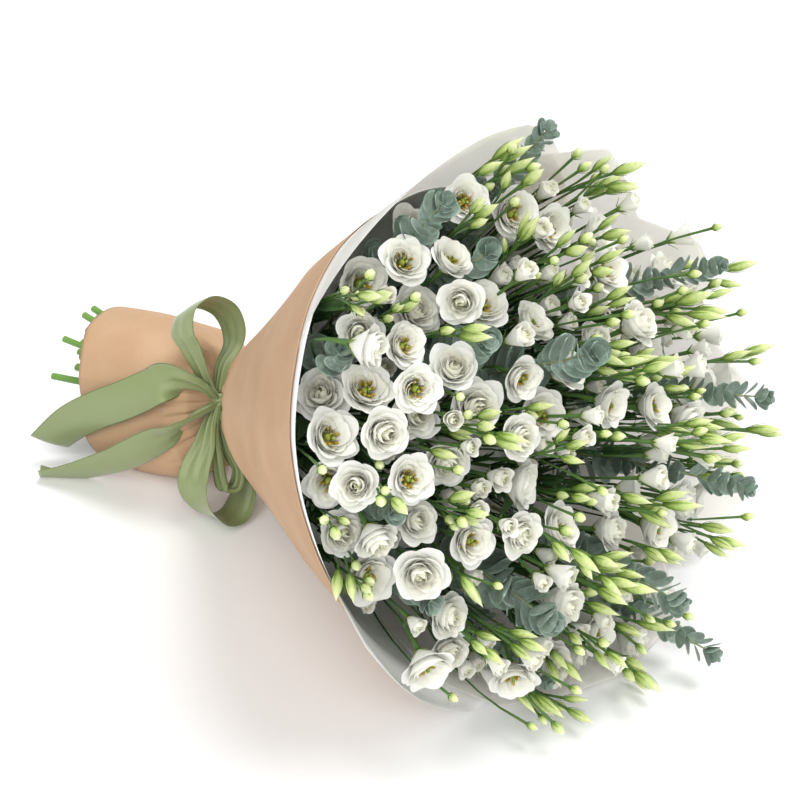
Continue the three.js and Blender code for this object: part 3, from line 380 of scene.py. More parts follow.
def placeBlooms(plants, random):
    blooms = []
    for plant in plants:
        plant.blooms = []
        for i in range(plant.head.blooms):
            angle = 2 * math.pi * (i / plant.head.blooms + random() * blooming["turnRange"])
            out = bouquet["clusterRadius"] if plant.head.blooms > 1 else blooming["loneOut"]
            home = besideHead(plant, blooming["riseRange"] * (random() - 0.5), out, angle)
            radius = bouquet["smallBloom"] + bouquet["bloomRange"] * random()
            plant.blooms.append(SimpleNamespace(plant=plant, home=home, centre=home, radius=radius,
                                                room=radius * blooming["roomShare"]))
        blooms += plant.blooms
    posts = np.array([point for plant in plants if plant.leafy for point in plant.path[plant.leafFrom + 1:]])
    for _ in range(blooming["rounds"]):
        for i, bloom in enumerate(blooms):
            for other in blooms[i + 1:]:
                line = other.centre - bloom.centre
                apart = norm(line)
                short = bloom.room + other.room + bouquet["bloomAir"] - apart
                if short > 0:
                    bloom.centre = bloom.centre - line * (short / apart / 2)
                    other.centre = other.centre + line * (short / apart / 2)
            if (((bloom.centre - posts) ** 2).sum(1) < (bloom.room + blooming["postNear"]) ** 2).any():
                pushFromPosts(bloom, posts)
            bloom.centre = mix(bloom.centre, bloom.home, blooming["homing"])
            tight = paperRoom(bloom.centre, bloom.room)
            if tight < 0:
                h, _, turn = cylindrical(bloom.centre)
                inward = unit(around(h + blooming["ahead"], 0, turn) - bloom.centre)
                bloom.centre = bloom.centre - inward * tight
    for number, bloom in enumerate(blooms):
        bloom.facing = unit(unit(bloom.centre) + nudge(random) * blooming["lean"])
        bloom.spin = random() * blooming["spinRange"] + bloom.plant.head.spin
        bloom.item = number + 1
        take(bloom.centre, bloom.centre, bloom.room, bloom.plant.index, item=bloom.item)


def growBranches(plants, random):  # each bloom nods until its branch finds a clear way
    thick = bouquet["branchRadius"]
    for plant in plants:
        for count, bloom in enumerate(plant.blooms):
            best = None
            for trial in range(branches["trials"]):
                back = branches["rootStep"] * count - branches["rootStart"] if count > 0 else 0
                root = stemSpot(plant, back + branches["rootRange"] * random() if count > 0 else 0)
                facing = unit(bloom.facing + nudge(random) * trial * branches["nod"])
                base = bloom.centre - facing * bloom.radius * branches["neck"]
                leaving = headDirection(plant, plant.top)
                if count > 0:
                    leaving = leavingDirection(plant, root, base)
                points = branchCurve(root, leaving, base, facing, branches["coarse"])
                free = min(pathRoom(points, thick, plant.index, bloom.item) - bouquet["gap"],
                           paperRoom(points[1], thick), paperRoom(mix(points[1], base, 0.5), thick))
                if best is None or free > best[0]:
                    best = (free, points, facing, base, leaving)
                if free > 0:
                    break
            _, points, bloom.facing, bloom.base, leaving = best
            bloom.branch = branchCurve(points[0], leaving, bloom.base, bloom.facing, branches["fine"])
            for i in (1, 2):
                take(points[i - 1], points[i], thick, plant.index, item=bloom.item)


leafing = {"first": 0.6, "turn": 90, "turnRange": 24, "taper": 0.5, "trials": 5, "shrink": 0.15, "air": 0.3,
           "rise": 0.4, "riseAlong": 0.4, "riseRange": 0.3, "thick": 0.5}


def makeLeaf(root, direction, first, way, radius, rise):
    along = unit(first * way + direction * rise)
    normal = squareTo(direction, along)
    return SimpleNamespace(base=root, along=along, normal=normal, wide=cross(along, normal), radius=radius)


def keepLeaf(plant, leaf, leaves, air):  # a leaf stays where it has room, lengthwise and across
    tip = leaf.base + leaf.along * 2 * leaf.radius
    centre = mix(leaf.base, tip, 0.5)
    wide = leaf.wide * leaf.radius * 0.7
    lines = [(leaf.base + leaf.along * leaf.radius * 0.5, tip), (centre - wide, centre + wide)]
    thick = leaf.radius * leafing["thick"]
    mine = taken.owner[:taken.count] == plant.index
    clear = all(room(a, b, thick, mine) > air and paperRoom(b, thick) > 0 for a, b in lines)
    if clear:
        leaves.append(leaf)
        for a, b in lines:
            take(a, b, thick, plant.index)
    return clear


def spineSpot(plant, t):  # a place on a frond's leafy part, and the way it grows there
    spine = plant.path[plant.leafFrom:]
    at = t * (len(spine) - 1)
    cell = min(int(at), len(spine) - 2)
    return mix(spine[cell], spine[cell + 1], at - cell), unit(spine[cell + 1] - spine[cell])


def turnPair(first, direction, degrees):
    first, turned = squareTo(first, direction), math.radians(degrees)
    return first * math.cos(turned) + cross(direction, first) * math.sin(turned)


def growLeaves(plants, random):  # opposite pairs, each a quarter turn on, smaller towards the tip
    for plant in plants:
        plant.pairs = []
        if not plant.leafy:
            continue
        first = crossDirections(spineSpot(plant, 0)[1])[0 if random() < 0.5 else 1]
        for count in range(plant.head.pairs):
            t = (count + leafing["first"]) / plant.head.pairs
            root, direction = spineSpot(plant, t)
            first = turnPair(first, direction, leafing["turn"] + leafing["turnRange"] * (random() - 0.5))
            pair = SimpleNamespace(first=first, leaves=[], t=t)
            for way in (1, -1):
                for trial in range(leafing["trials"]):
                    radius = plant.head.leaf * (1 - leafing["taper"] * t) * (1 - leafing["shrink"] * trial)
                    rise = leafing["rise"] + leafing["riseAlong"] * t + leafing["riseRange"] * random()
                    leaf = makeLeaf(root, direction, first, way, radius, rise)
                    if keepLeaf(plant, leaf, pair.leaves, leafing["air"]):
                        break
            plant.pairs.append(pair)


twigs = {"shares": (0.33, 0.67), "tip": [0.95, 0.98, 1.0], "trials": 3, "shrink": 0.22, "taper": 0.45,
         "rise": 0.4, "riseAlong": 0.45, "riseRange": 0.3, "tipRise": 0.5, "thinFrom": 0.3, "slip": -4}


def growTwigs(plants, random):  # leaves between the first pairs, and the crowded tip
    for plant in plants:
        plant.twigs = []
        if not plant.leafy:
            continue
        last = len(plant.pairs)
        gaps = [(a.t, b.t) for a, b in zip(plant.pairs, plant.pairs[1:])]
        steps = [a + (b - a) * share for a, b in gaps for share in twigs["shares"]] + twigs["tip"]
        tipFrom = len(steps) - len(twigs["tip"])
        for k, t in enumerate(steps):
            root, direction = spineSpot(plant, t)
            atTip = k >= tipFrom
            degrees = 90 * k + 20 if atTip else 30 + 30 * (k % 2)
            first = turnPair(plant.pairs[min(k // 2, last - 1)].first, direction, degrees)
            air = twigs["slip"] if t > twigs["thinFrom"] else leafing["air"]  # thin leaves slip in
            for way in (1, -1):
                shrink = 0.8 - 0.17 * (k - tipFrom) if atTip else 0.9
                radius = plant.head.leaf * (1 - twigs["taper"] * t) * shrink
                rise = twigs["rise"] + twigs["riseAlong"] * t + twigs["riseRange"] * random()
                rise = rise + (twigs["tipRise"] if atTip else 0)
                for trial in range(twigs["trials"]):
                    small = radius * (1 - twigs["shrink"] * trial)
                    if keepLeaf(plant, makeLeaf(root, direction, first, way, small, rise), plant.twigs, air):
                        break


budding = {"tries": 24, "out": (8, 36), "rise": (6, 44), "size": (0.8, 0.3), "rootStart": 4, "rootStep": 11,
           "rootRange": 6, "lean": 0.5, "air": 0.5, "smallSize": 0.62, "small": 4}


def clearBud(plant, base, tip, radius, points, thick):
    return (room(base, tip, radius) > budding["air"]
            and pathRoom(points, thick, plant.index, 0) > bouquet["gap"]
            and paperRoom(tip, bouquet["budRadius"]) > 0 and paperRoom(base, bouquet["budRadius"]) > 0
            and paperRoom(points[1], thick) > 0 and paperRoom(mix(points[1], base, 0.5), thick) > 0)


def keepBud(plant, base, tip, size, facing, branch, small):
    plant.buds.append(SimpleNamespace(base=base, tip=tip, size=size, facing=facing, branch=branch,
                                      round=small))
    take(base, tip, bouquet["budRadius"] * size, plant.index)


def growBuds(plants, random, counts, small):  # on thin branches past the blooms, wherever there is room
    for plant in plants:
        for count in range(counts(plant)):
            for _ in range(budding["tries"]):
                angle = 2 * math.pi * random()
                out = drawn(random, budding["out"])
                rise = drawn(random, budding["rise"])
                size = drawn(random, budding["size"]) * small
                back = (budding["rootStart"] + budding["rootStep"] * (plant.head.blooms + count)
                        - budding["rootRange"] * random())
                lean = nudge(random)
                centre = besideHead(plant, rise, out, angle)
                facing = unit(unit(centre) + lean * budding["lean"])
                base = centre - facing * bouquet["budLength"] * size / 2
                tip = centre + facing * bouquet["budLength"] * size / 2
                root = stemSpot(plant, back)
                leaving = leavingDirection(plant, root, base)
                points = branchCurve(root, leaving, base, facing, branches["coarse"])
                if clearBud(plant, base, tip, bouquet["budRadius"] * size, points, bouquet["budBranch"]):
                    branch = branchCurve(root, leaving, base, facing, branches["fine"])
                    keepBud(plant, base, tip, size, facing, branch, small < 1)
                    take(points[0], points[1], bouquet["budBranch"], plant.index)
                    take(points[1], points[2], bouquet["budBranch"], plant.index)
                    break


filling = {"count": 7, "tries": 30, "out": 50, "rise": (-38, 60), "radius": (8, 5.5), "lean": 0.5,
           "long": 1.2, "thick": 0.8, "root": (6, 50), "footAir": 3,
           "rimFrom": 15, "rimTo": 150, "rimAir": 14}


def growHalfOpen(plants, random):  # half open flowers fill the head of each spray between its blooms
    for plant in plants:
        plant.halfOpen = []
        if plant.leafy:
            continue
        for _ in range(filling["count"]):
            for _ in range(filling["tries"]):
                angle, out = 2 * math.pi * random(), filling["out"] * math.sqrt(random())
                rise, radius = drawn(random, filling["rise"]), drawn(random, filling["radius"])
                lean = nudge(random)
                centre = besideHead(plant, rise, out, angle)
                facing = unit(unit(centre) + lean * filling["lean"])
                base = centre - facing * radius * filling["long"]
                tip = centre + facing * radius * filling["long"]
                free = min(paperRoom(tip, radius), paperRoom(centre, radius),
                           paperRoom(base, radius) + filling["footAir"])
                _, r, turn = cylindrical(tip)
                rim = float(wallRadius(float(lookup(paperTop, turn)), turn)) - filling["rimAir"]
                overRim = filling["rimFrom"] < turn < filling["rimTo"] and r > rim
                if room(base, tip, radius * filling["thick"]) > 0 and free > 0 and not overRim:
                    root = stemSpot(plant, drawn(random, filling["root"]))
                    leaving = leavingDirection(plant, root, base)
                    branch = branchCurve(root, leaving, base, facing, branches["fine"])
                    plant.halfOpen.append(SimpleNamespace(
                        base=base, facing=facing, radius=radius, branch=branch, spin=360 * random()))
                    take(base, tip, radius * filling["thick"], plant.index)
                    break


siblings = {"count": 2, "tries": 12, "size": (0.6, 0.45), "apart": 1.15, "out": 0.7, "lower": (4, 14),
            "lean": (0.15, 0.3), "thick": 0.8, "roundBelow": 0.72, "fork": 4, "steps": 6}


def growSiblings(plants, random):  # buds stand in bunches: more of them share each bud's branch
    for plant in plants:
        for bud in [bud for bud in plant.buds if not bud.round]:
            first, second = crossDirections(bud.facing)
            for _ in range(siblings["count"]):
                for _ in range(siblings["tries"]):
                    angle, size = 2 * math.pi * random(), drawn(random, siblings["size"])
                    out = bouquet["budRadius"] * (bud.size + size) * siblings["apart"]
                    side = first * math.cos(angle) + second * math.sin(angle)
                    base = bud.base + side * out * siblings["out"]
                    base = base - bud.facing * drawn(random, siblings["lower"])
                    facing = unit(bud.facing + side * drawn(random, siblings["lean"]))
                    tip = base + facing * bouquet["budLength"] * size
                    thick = bouquet["budRadius"] * size * siblings["thick"]
                    if room(base + facing * 2, tip, thick) > 0 and paperRoom(tip, 3) > 0:
                        root = bud.branch[siblings["fork"]]
                        leaving = unit(bud.branch[siblings["fork"] + 1] - root + side * 2)
                        branch = branchCurve(root, leaving, base, facing, siblings["steps"])
                        keepBud(plant, base, tip, size, facing, branch, size < siblings["roundBelow"])
                        break


def makePath(plant):  # straight to the head; a frond then bends under its leaves
    top = plant.h * bouquet["leafShare"] if plant.leafy else plant.top
    heights = [plant.low] + [h for h in (0, 120) if h < top - 40] + [top]
    plant.path = [stemPoint(plant, h) for h in heights]
    plant.leafFrom = len(plant.path) - 1
    if plant.leafy:
        low, steps = bouquet["leafShare"], bouquet["spineSteps"]
        for i in range(1, steps + 1):
            point = stemPoint(plant, plant.h * (low + (1 - low) * i / steps))
            point[2] -= plant.head.sag * i * i / steps ** 2
            plant.path.append(point)


def layOut():
    random = makeRandom(bouquet["seed"])
    heads = [SimpleNamespace(turn=t, tilt=a, reach=r, blooms=b, buds=u, longer=e, spin=s)
             for t, a, r, b, u, e, s in sprays]
    heads += [SimpleNamespace(turn=t, tilt=a, reach=r, blooms=0, buds=0, longer=e, leaf=f, pairs=p, sag=s)
              for t, a, r, f, p, s, e in fronds]
    plants = []
    for index, (head, (x, y)) in enumerate(zip(heads, placeStems(heads))):
        h, aside, toward = headPlace(head)
        g = spread(h)
        leafy = index >= len(sprays)
        low = -bouquet["shortestEnd"] - bouquet["endRange"] * random() - head.longer
        plants.append(SimpleNamespace(
            index=index, head=head, place=[x, y], bend=(aside - (x - g * y), toward - (y + g * x)), h=h,
            leafy=leafy, low=low, top=h if leafy else h * bouquet["branchShare"], buds=[]))
    for plant in plants:
        makePath(plant)
        for a, b in zip(plant.path, plant.path[1:]):
            take(a, b, bouquet["stemRadius"] + bouquet["gap"], plant.index, stem=True)
    placeBlooms(plants, random)
    growBranches(plants, random)
    growLeaves(plants, random)
    growBuds(plants, random, lambda plant: plant.head.buds, 1)
    growTwigs(plants, random)
    growHalfOpen(plants, random)
    growSiblings(plants, random)
    growBuds(plants, random, lambda plant: 0 if plant.leafy else budding["small"], budding["smallSize"])
    return plants


plants = layOut()
print("laid out", sum(len(p.blooms) for p in plants), "blooms,", sum(len(p.halfOpen) for p in plants),
      "half open flowers and", sum(len(p.buds) for p in plants), "buds")

# materials


def linear(colour):  # sRGB hex to linear
    parts = [int(colour[i:i + 2], 16) / 255 for i in (1, 3, 5)]
    return [c / 12.92 if c <= 0.04045 else ((c + 0.055) / 1.055) ** 2.4 for c in parts] + [1]


def addNode(tree, kind, settings=None, links=None):
    node = tree.nodes.new("ShaderNode" + kind)
    for key, value in (settings or {}).items():
        if key == "stops":
            ramp = node.color_ramp.elements
            while len(ramp) < len(value):
                ramp.new(0.5)
            for stop, (place, colour) in zip(ramp, value):
                stop.position, stop.color = place, linear(colour)
        elif isinstance(key, str) and hasattr(node, key):
            setattr(node, key, value)
        else:
            node.inputs[key].default_value = value
    for key, source in (links or {}).items():
        tree.links.new(source, node.inputs[key])
    return node


def newMaterial(name, settings):
    material = bpy.data.materials.new(name)
    material.use_nodes = True
    tree = material.node_tree
    shader = tree.nodes["Principled BSDF"]
    for key, value in settings.items():
        shader.inputs[key].default_value = value
    return material, tree, shader


def finishMaterial(tree, shader, colour, bump):
    tree.links.new(colour, shader.inputs["Base Color"])
    tree.links.new(bump.outputs[0], shader.inputs["Normal"])


def through(tree, shader, colour, share):  # light that comes through a thin petal or sheet
    back = addNode(tree, "BsdfTranslucent", {}, {"Color": colour})
    mixed = addNode(tree, "MixShader", {"Fac": share}, {1: shader.outputs[0], 2: back.outputs[0]})
    tree.links.new(mixed.outputs[0], tree.nodes["Material Output"].inputs["Surface"])


def petalMaterial():  # fresh lisianthus petal: matt, velvety and a little translucent, green at its foot
    material, tree, shader = newMaterial("petalFresh", {
        "Roughness": 0.62, "IOR": 1.4, "Sheen Weight": 0.12, "Sheen Roughness": 0.5})
    uv = addNode(tree, "UVMap", {"uv_map": "UVMap"})
    split = addNode(tree, "SeparateXYZ", {}, {0: uv.outputs[0]})
    tint = addNode(tree, "Attribute", {"attribute_name": "tint"})
    footStops = [(0, "#b3c67c"), (0.14, "#dfe4bd"), (0.36, "#f7f7ec"), (0.7, "#fdfdf9"), (1, "#fcfcf8")]
    foot = addNode(tree, "ValToRGB", {"stops": footStops}, {0: split.outputs[1]})
    innerStops = [(0, "#ffffff"), (0.6, "#fffdf4"), (1, "#eaedc4")]  # the inmost whorls stay greenish
    inner = addNode(tree, "ValToRGB", {"stops": innerStops}, {0: tint.outputs["Fac"]})
    both = addNode(tree, "Mix", {"data_type": "RGBA", "blend_type": "MULTIPLY", 0: 1.0},
                   {6: foot.outputs[0], 7: inner.outputs[0]})
    stretch = addNode(tree, "Mapping", {"Scale": (26, 3, 1)}, {0: uv.outputs[0]})  # a fan of fine veins
    veins = addNode(tree, "TexNoise", {"Scale": 1, "Detail": 2}, {0: stretch.outputs[0]})
    bump = addNode(tree, "Bump", {"Strength": 0.25, "Distance": 0.0006}, {"Height": veins.outputs[0]})
    finishMaterial(tree, shader, both.outputs[2], bump)
    through(tree, shader, both.outputs[2], 0.16)
    return material


def greenMaterial(name, stops, roughness, grain):  # living stem, sepal or bud: smooth skin with faint streaks
    material, tree, shader = newMaterial(name, {
        "Roughness": roughness, "IOR": 1.42, "Subsurface Weight": 0.08, "Subsurface Scale": 0.002})
    uv = addNode(tree, "UVMap", {"uv_map": "UVMap"})
    split = addNode(tree, "SeparateXYZ", {}, {0: uv.outputs[0]})
    place = addNode(tree, "TexCoord")
    mottle = addNode(tree, "TexNoise", {"Scale": grain, "Detail": 3}, {0: place.outputs["Object"]})
    shade = addNode(tree, "Math", {"operation": "MULTIPLY_ADD", 1: 0.5, 2: -0.25}, {0: mottle.outputs[0]})
    moved = addNode(tree, "Math", {"operation": "ADD"}, {0: split.outputs[1], 1: shade.outputs[0]})
    ramp = addNode(tree, "ValToRGB", {"stops": stops}, {0: moved.outputs[0]})
    stretch = addNode(tree, "Mapping", {"Scale": (18, 2, 1)}, {0: uv.outputs[0]})
    streak = addNode(tree, "TexNoise", {"Scale": 1, "Detail": 2}, {0: stretch.outputs[0]})
    bump = addNode(tree, "Bump", {"Strength": 0.3, "Distance": 0.0004}, {"Height": streak.outputs[0]})
    finishMaterial(tree, shader, ramp.outputs[0], bump)
    return material


def eucalyptusMaterial():  # waxy eucalyptus leaf: dusty blue green bloom, a paler rim and midrib
    material, tree, shader = newMaterial("eucalyptusLeafWaxy", {
        "Roughness": 0.6, "IOR": 1.45, "Sheen Weight": 0.1})
    uv = addNode(tree, "UVMap", {"uv_map": "UVMap"})
    split = addNode(tree, "SeparateXYZ", {}, {0: uv.outputs[0]})
    centred = addNode(tree, "Math", {"operation": "MULTIPLY_ADD", 1: 2.0, 2: -1.0}, {0: split.outputs[0]})
    side = addNode(tree, "Math", {"operation": "ABSOLUTE"}, {0: centred.outputs[0]})
    edge = addNode(tree, "Math", {"operation": "MAXIMUM"}, {0: side.outputs[0], 1: split.outputs[1]})
    place = addNode(tree, "TexCoord")
    dust = addNode(tree, "TexNoise", {"Scale": 260, "Detail": 4}, {0: place.outputs["Object"]})
    dustStops = [(0.3, "#93a398"), (0.55, "#a8b7ad"), (0.75, "#bccac1")]
    base = addNode(tree, "ValToRGB", {"stops": dustStops}, {0: dust.outputs[0]})
    rimStops = [(0, "#a9bfae"), (0.06, "#8a9c93"), (0.8, "#919191"), (0.93, "#bccdc2"), (1, "#dbe6da")]
    rim = addNode(tree, "ValToRGB", {"stops": rimStops}, {0: edge.outputs[0]})
    both = addNode(tree, "Mix", {"data_type": "RGBA", "blend_type": "OVERLAY", 0: 0.55},
                   {6: base.outputs[0], 7: rim.outputs[0]})
    tint = addNode(tree, "Attribute", {"attribute_name": "tint"})
    ageStops = [(0, "#c6d2c8"), (1, "#ffffff")]
    age = addNode(tree, "ValToRGB", {"stops": ageStops}, {0: tint.outputs["Fac"]})
    aged = addNode(tree, "Mix", {"data_type": "RGBA", "blend_type": "MULTIPLY", 0: 1.0},
                   {6: both.outputs[2], 7: age.outputs[0]})
    ribs = addNode(tree, "TexWave", {"Scale": 6, "Distortion": 2.5, "bands_direction": "DIAGONAL"},
                   {0: uv.outputs[0]})
    bump = addNode(tree, "Bump", {"Strength": 0.12, "Distance": 0.0004}, {"Height": ribs.outputs[1]})
    finishMaterial(tree, shader, aged.outputs[2], bump)
    return material


def paperMaterial(name, stops, roughness, fibre, share):  # machine made paper: matt, with fibre clouds
    material, tree, shader = newMaterial(name, {
        "Roughness": roughness, "IOR": 1.45, "Specular IOR Level": 0.35})
    place = addNode(tree, "TexCoord")
    cloud = addNode(tree, "TexNoise", {"Scale": 22, "Detail": 5}, {0: place.outputs["Object"]})
    grain = addNode(tree, "TexNoise", {"Scale": fibre, "Detail": 3}, {0: place.outputs["Object"]})
    summed = addNode(tree, "Math", {"operation": "MULTIPLY_ADD", 1: 0.35},
                     {0: grain.outputs[0], 2: cloud.outputs[0]})
    ramp = addNode(tree, "ValToRGB", {"stops": stops}, {0: summed.outputs[0]})
    bump = addNode(tree, "Bump", {"Strength": 0.12, "Distance": 0.0004}, {"Height": grain.outputs[0]})
    finishMaterial(tree, shader, ramp.outputs[0], bump)
    if share:
        through(tree, shader, ramp.outputs[0], share)
    return material


def satinMaterial():  # polyester satin, woven with long floats: smooth, with a soft sheen along the ribbon
    material, tree, shader = newMaterial("satinRibbonWoven", {
        "Roughness": 0.34, "IOR": 1.5, "Sheen Weight": 0.35, "Sheen Roughness": 0.35, "Anisotropic": 0.45})
    uv = addNode(tree, "UVMap", {"uv_map": "UVMap"})
    split = addNode(tree, "SeparateXYZ", {}, {0: uv.outputs[0]})
    centred = addNode(tree, "Math", {"operation": "MULTIPLY_ADD", 1: 2.0, 2: -1.0}, {0: split.outputs[0]})
    side = addNode(tree, "Math", {"operation": "ABSOLUTE"}, {0: centred.outputs[0]})
    stops = [(0, "#869363"), (0.94, "#839060"), (0.97, "#61713e"), (1, "#6e7d49")]  # woven selvedge
    ramp = addNode(tree, "ValToRGB", {"stops": stops}, {0: side.outputs[0]})
    stretch = addNode(tree, "Mapping", {"Scale": (60, 8, 1)}, {0: uv.outputs[0]})  # threads, drawn coarser
    thread = addNode(tree, "TexNoise", {"Scale": 1, "Detail": 2}, {0: stretch.outputs[0]})
    bump = addNode(tree, "Bump", {"Strength": 0.06, "Distance": 0.0003}, {"Height": thread.outputs[0]})
    finishMaterial(tree, shader, ramp.outputs[0], bump)
    return material


def twineMaterial():  # jute twine, spun from coarse fibres: hairy, matt, uneven brown
    material, tree, shader = newMaterial("juteTwineSpun", {"Roughness": 0.9, "Sheen Weight": 0.2})
    place = addNode(tree, "TexCoord")
    fibre = addNode(tree, "TexNoise", {"Scale": 900, "Detail": 4}, {0: place.outputs["Object"]})
    stops = [(0.3, "#7d5c34"), (0.7, "#c09a68")]
    ramp = addNode(tree, "ValToRGB", {"stops": stops}, {0: fibre.outputs[0]})
    bump = addNode(tree, "Bump", {"Strength": 0.5, "Distance": 0.0004}, {"Height": fibre.outputs[0]})
    finishMaterial(tree, shader, ramp.outputs[0], bump)
    return material


petalFresh = petalMaterial()
# painted shade: this stem and branch green is darkened to stand in for the shade in the gaps between the
# heads, and runs darker towards each piece's lower end
stemShadedGreen = greenMaterial("stemGreenPaintedShade", [(0, "#27441d"), (0.5, "#335424"), (1, "#54763a")], 0.45, 90)
# painted light: a lit copy of the same stem, brighter green, for the stem ends out in the light below the
# wrap
stemLitGreen = greenMaterial("stemGreenPaintedLight", [(0, "#6c9644"), (0.5, "#5a8539"), (1, "#4c7330")], 0.38, 90)
stemCut = greenMaterial("stemCutPith", [(0, "#8fae62"), (0.6, "#c3cf95"), (1, "#dfe3bd")], 0.7, 400)
sepalGreen = greenMaterial("sepalFresh", [(0, "#5f8033"), (0.6, "#78963f"), (1, "#94ad58")], 0.5, 300)
budGreen = greenMaterial("budFurled", [(0, "#7f9c42"), (0.35, "#a9c068"), (0.75, "#d5e09e"), (1, "#ecf0c8")],
                         0.5, 300)
antherGold = greenMaterial("antherPollen", [(0, "#77641f"), (0.5, "#a1892f"), (1, "#c6b053")], 0.8, 900)
pistilGreen = greenMaterial("pistilFresh", [(0, "#3f5a1e"), (0.6, "#7b8f2f"), (1, "#b9bf58")], 0.5, 500)
# painted shade: the stem leaves' green is darkened to stand in for the shade they sit in, deep between the
# heads
leafShadedGreen = greenMaterial("leafPaintedShade", [(0, "#2b4726"), (0.5, "#3f6034"), (1, "#5d7c4a")], 0.5, 160)
eucalyptusLeaf = eucalyptusMaterial()
eucalyptusStem = greenMaterial("eucalyptusTwig", [(0, "#6d7a4c"), (0.6, "#87906a"), (1, "#9ba681")], 0.6, 120)
kraftPaper = paperMaterial("kraftPaperCalendered", [(0.35, "#b59170"), (0.65, "#bc9a79"), (0.95, "#c3a284")],
                           0.72, 900, 0)
ivoryPaper = paperMaterial("tissueIvoryWaxed", [(0.35, "#faf8f4"), (0.65, "#fefcf9"), (0.95, "#fffefc")],
                           0.5, 700, 0.6)
liningPaper = paperMaterial("tissueLiningWaxed", [(0.35, "#f6f5f3"), (0.65, "#fcfbf9"), (0.95, "#ffffff")],
                            0.45, 700, 0.06)
satinRibbon = satinMaterial()
juteTwine = twineMaterial()
print("materials made")

# meshes


class Shape:  # points in mm round the tie, their faces, and what each point tells its material
    def __init__(self, *materials):
        self.materials = materials
        self.points, self.faces, self.slots, self.uv, self.tint = [], [], [], [], []
        self.count = 0

    def add(self, grid, material, tint=0.0, closed=False):
        rows, cols = grid.shape[:2]
        index = np.arange(rows * cols).reshape(rows, cols) + self.count
        if closed:
            index = np.concatenate([index, index[:, :1]], axis=1)
        corners = [index[:-1, :-1], index[:-1, 1:], index[1:, 1:], index[1:, :-1]]
        faces = np.stack(corners, axis=-1).reshape(-1, 4)
        u = np.abs(np.linspace(-1, 1, cols)) if closed else np.linspace(0, 1, cols)
        v = np.linspace(0, 1, rows)
        self.points.append(grid.reshape(-1, 3))
        self.faces.append(faces)
        self.slots.append(np.full(len(faces), self.materials.index(material)))
        self.uv.append(np.stack(np.broadcast_arrays(u[None, :], v[:, None]), axis=-1).reshape(-1, 2))
        self.tint.append(np.full(rows * cols, tint))
        self.count += rows * cols


def makePiece(name, shape, node):
    points = np.concatenate(shape.points) / 1000 + tie
    faces = np.concatenate(shape.faces)
    mesh = bpy.data.meshes.new(name)
    mesh.from_pydata(points.tolist(), [], faces.tolist())
    corners = np.empty(len(mesh.loops), int)
    mesh.loops.foreach_get("vertex_index", corners)
    mesh.uv_layers.new(name="UVMap").data.foreach_set("uv", np.concatenate(shape.uv)[corners].ravel())
    mesh.attributes.new("tint", "FLOAT", "POINT").data.foreach_set("value", np.concatenate(shape.tint))
    for material in shape.materials:
        mesh.materials.append(material)
    mesh.polygons.foreach_set("material_index", np.concatenate(shape.slots))
    mesh.polygons.foreach_set("use_smooth", np.ones(len(faces), bool))
    mesh.update()
    piece = bpy.data.objects.new(name, mesh)
    scene.collection.objects.link(piece)
    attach(piece, "root")
    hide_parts(node)
    return piece


def thicken(piece, thickness, offset=-1):
    solid = piece.modifiers.new("thickness", "SOLIDIFY")
    solid.thickness, solid.offset = thickness / 1000, offset
    solid.use_even_offset = False


def tube(path, radii, sides):  # rings along a path, carried without twisting
    path = np.array(path)
    angles = np.linspace(0, 2 * math.pi, sides, endpoint=False)[:, None]
    first, rings = None, []
    for i, point in enumerate(path):
        direction = unit(path[min(i + 1, len(path) - 1)] - path[max(i - 1, 0)])
        first = crossDirections(direction)[0] if first is None else squareTo(first, direction)
        second = cross(direction, first)
        rings.append(point + radii[i] * (np.cos(angles) * first + np.sin(angles) * second))
    return np.array(rings)


def subdivided(path, step):  # more points along a polyline
    points = [path[0]]
    for a, b in zip(path, path[1:]):
        count = max(int(norm(b - a) / step), 1)
        points += [mix(a, b, i / count) for i in range(1, count + 1)]
    return points


def lengthAndWidth(rows, cols):  # shares from 0 to 1 along a petal or leaf and from -1 to 1 across it
    return np.linspace(0, 1, rows)[:, None], np.linspace(-1, 1, cols)[None, :]


def roundStalk(base, facing, z, r, theta):  # points at heights, radii and angles round a stalk
    first, second = crossDirections(facing)
    points = base + z[..., None] * facing + (r * np.cos(theta))[..., None] * first
    return points + (r * np.sin(theta))[..., None] * second


# flowers

bloomLook = {"rows": 12, "cols": 13, "grown": 1.1, "height": 1.22, "openShare": 0.5, "ruffle": 0.06,
             "foot": 1.3, "widest": 0.68, "sepals": 5, "stamens": 10}
# each whorl: petals, reach and height as shares of the bloom's, flare of the rim, curl, half width, tint
openWhorls = [
    (5, 1.0, 0.84, 0.16, 0.0, 0.98, 0.0), (5, 0.84, 0.96, 0.08, 0.01, 0.84, 0.1),
    (5, 0.66, 0.92, 0.04, 0.04, 0.66, 0.3),
]
roseWhorls = [
    (5, 0.98, 0.84, 0.16, 0.0, 0.98, 0.0), (5, 0.82, 0.97, 0.08, 0.03, 0.84, 0.1),
    (5, 0.65, 1.04, 0.02, 0.06, 0.66, 0.25), (4, 0.49, 1.07, 0.0, 0.12, 0.5, 0.42),
    (3, 0.34, 1.05, 0.0, 0.16, 0.4, 0.6), (3, 0.2, 1.0, 0.0, 0.14, 0.28, 0.85),
]
halfWhorls = [
    (4, 0.95, 1.45, 0.10, 0.06, 0.92, 0.1), (4, 0.74, 1.5, 0.0, 0.14, 0.72, 0.35),
    (3, 0.5, 1.5, 0.0, 0.16, 0.55, 0.6), (3, 0.28, 1.45, 0.0, 0.12, 0.4, 0.8),
]


def cupCurve(t):  # how a petal leans out from its foot to its rim
    return 0.62 * t ** 0.8 + 0.38 * t ** 2.6


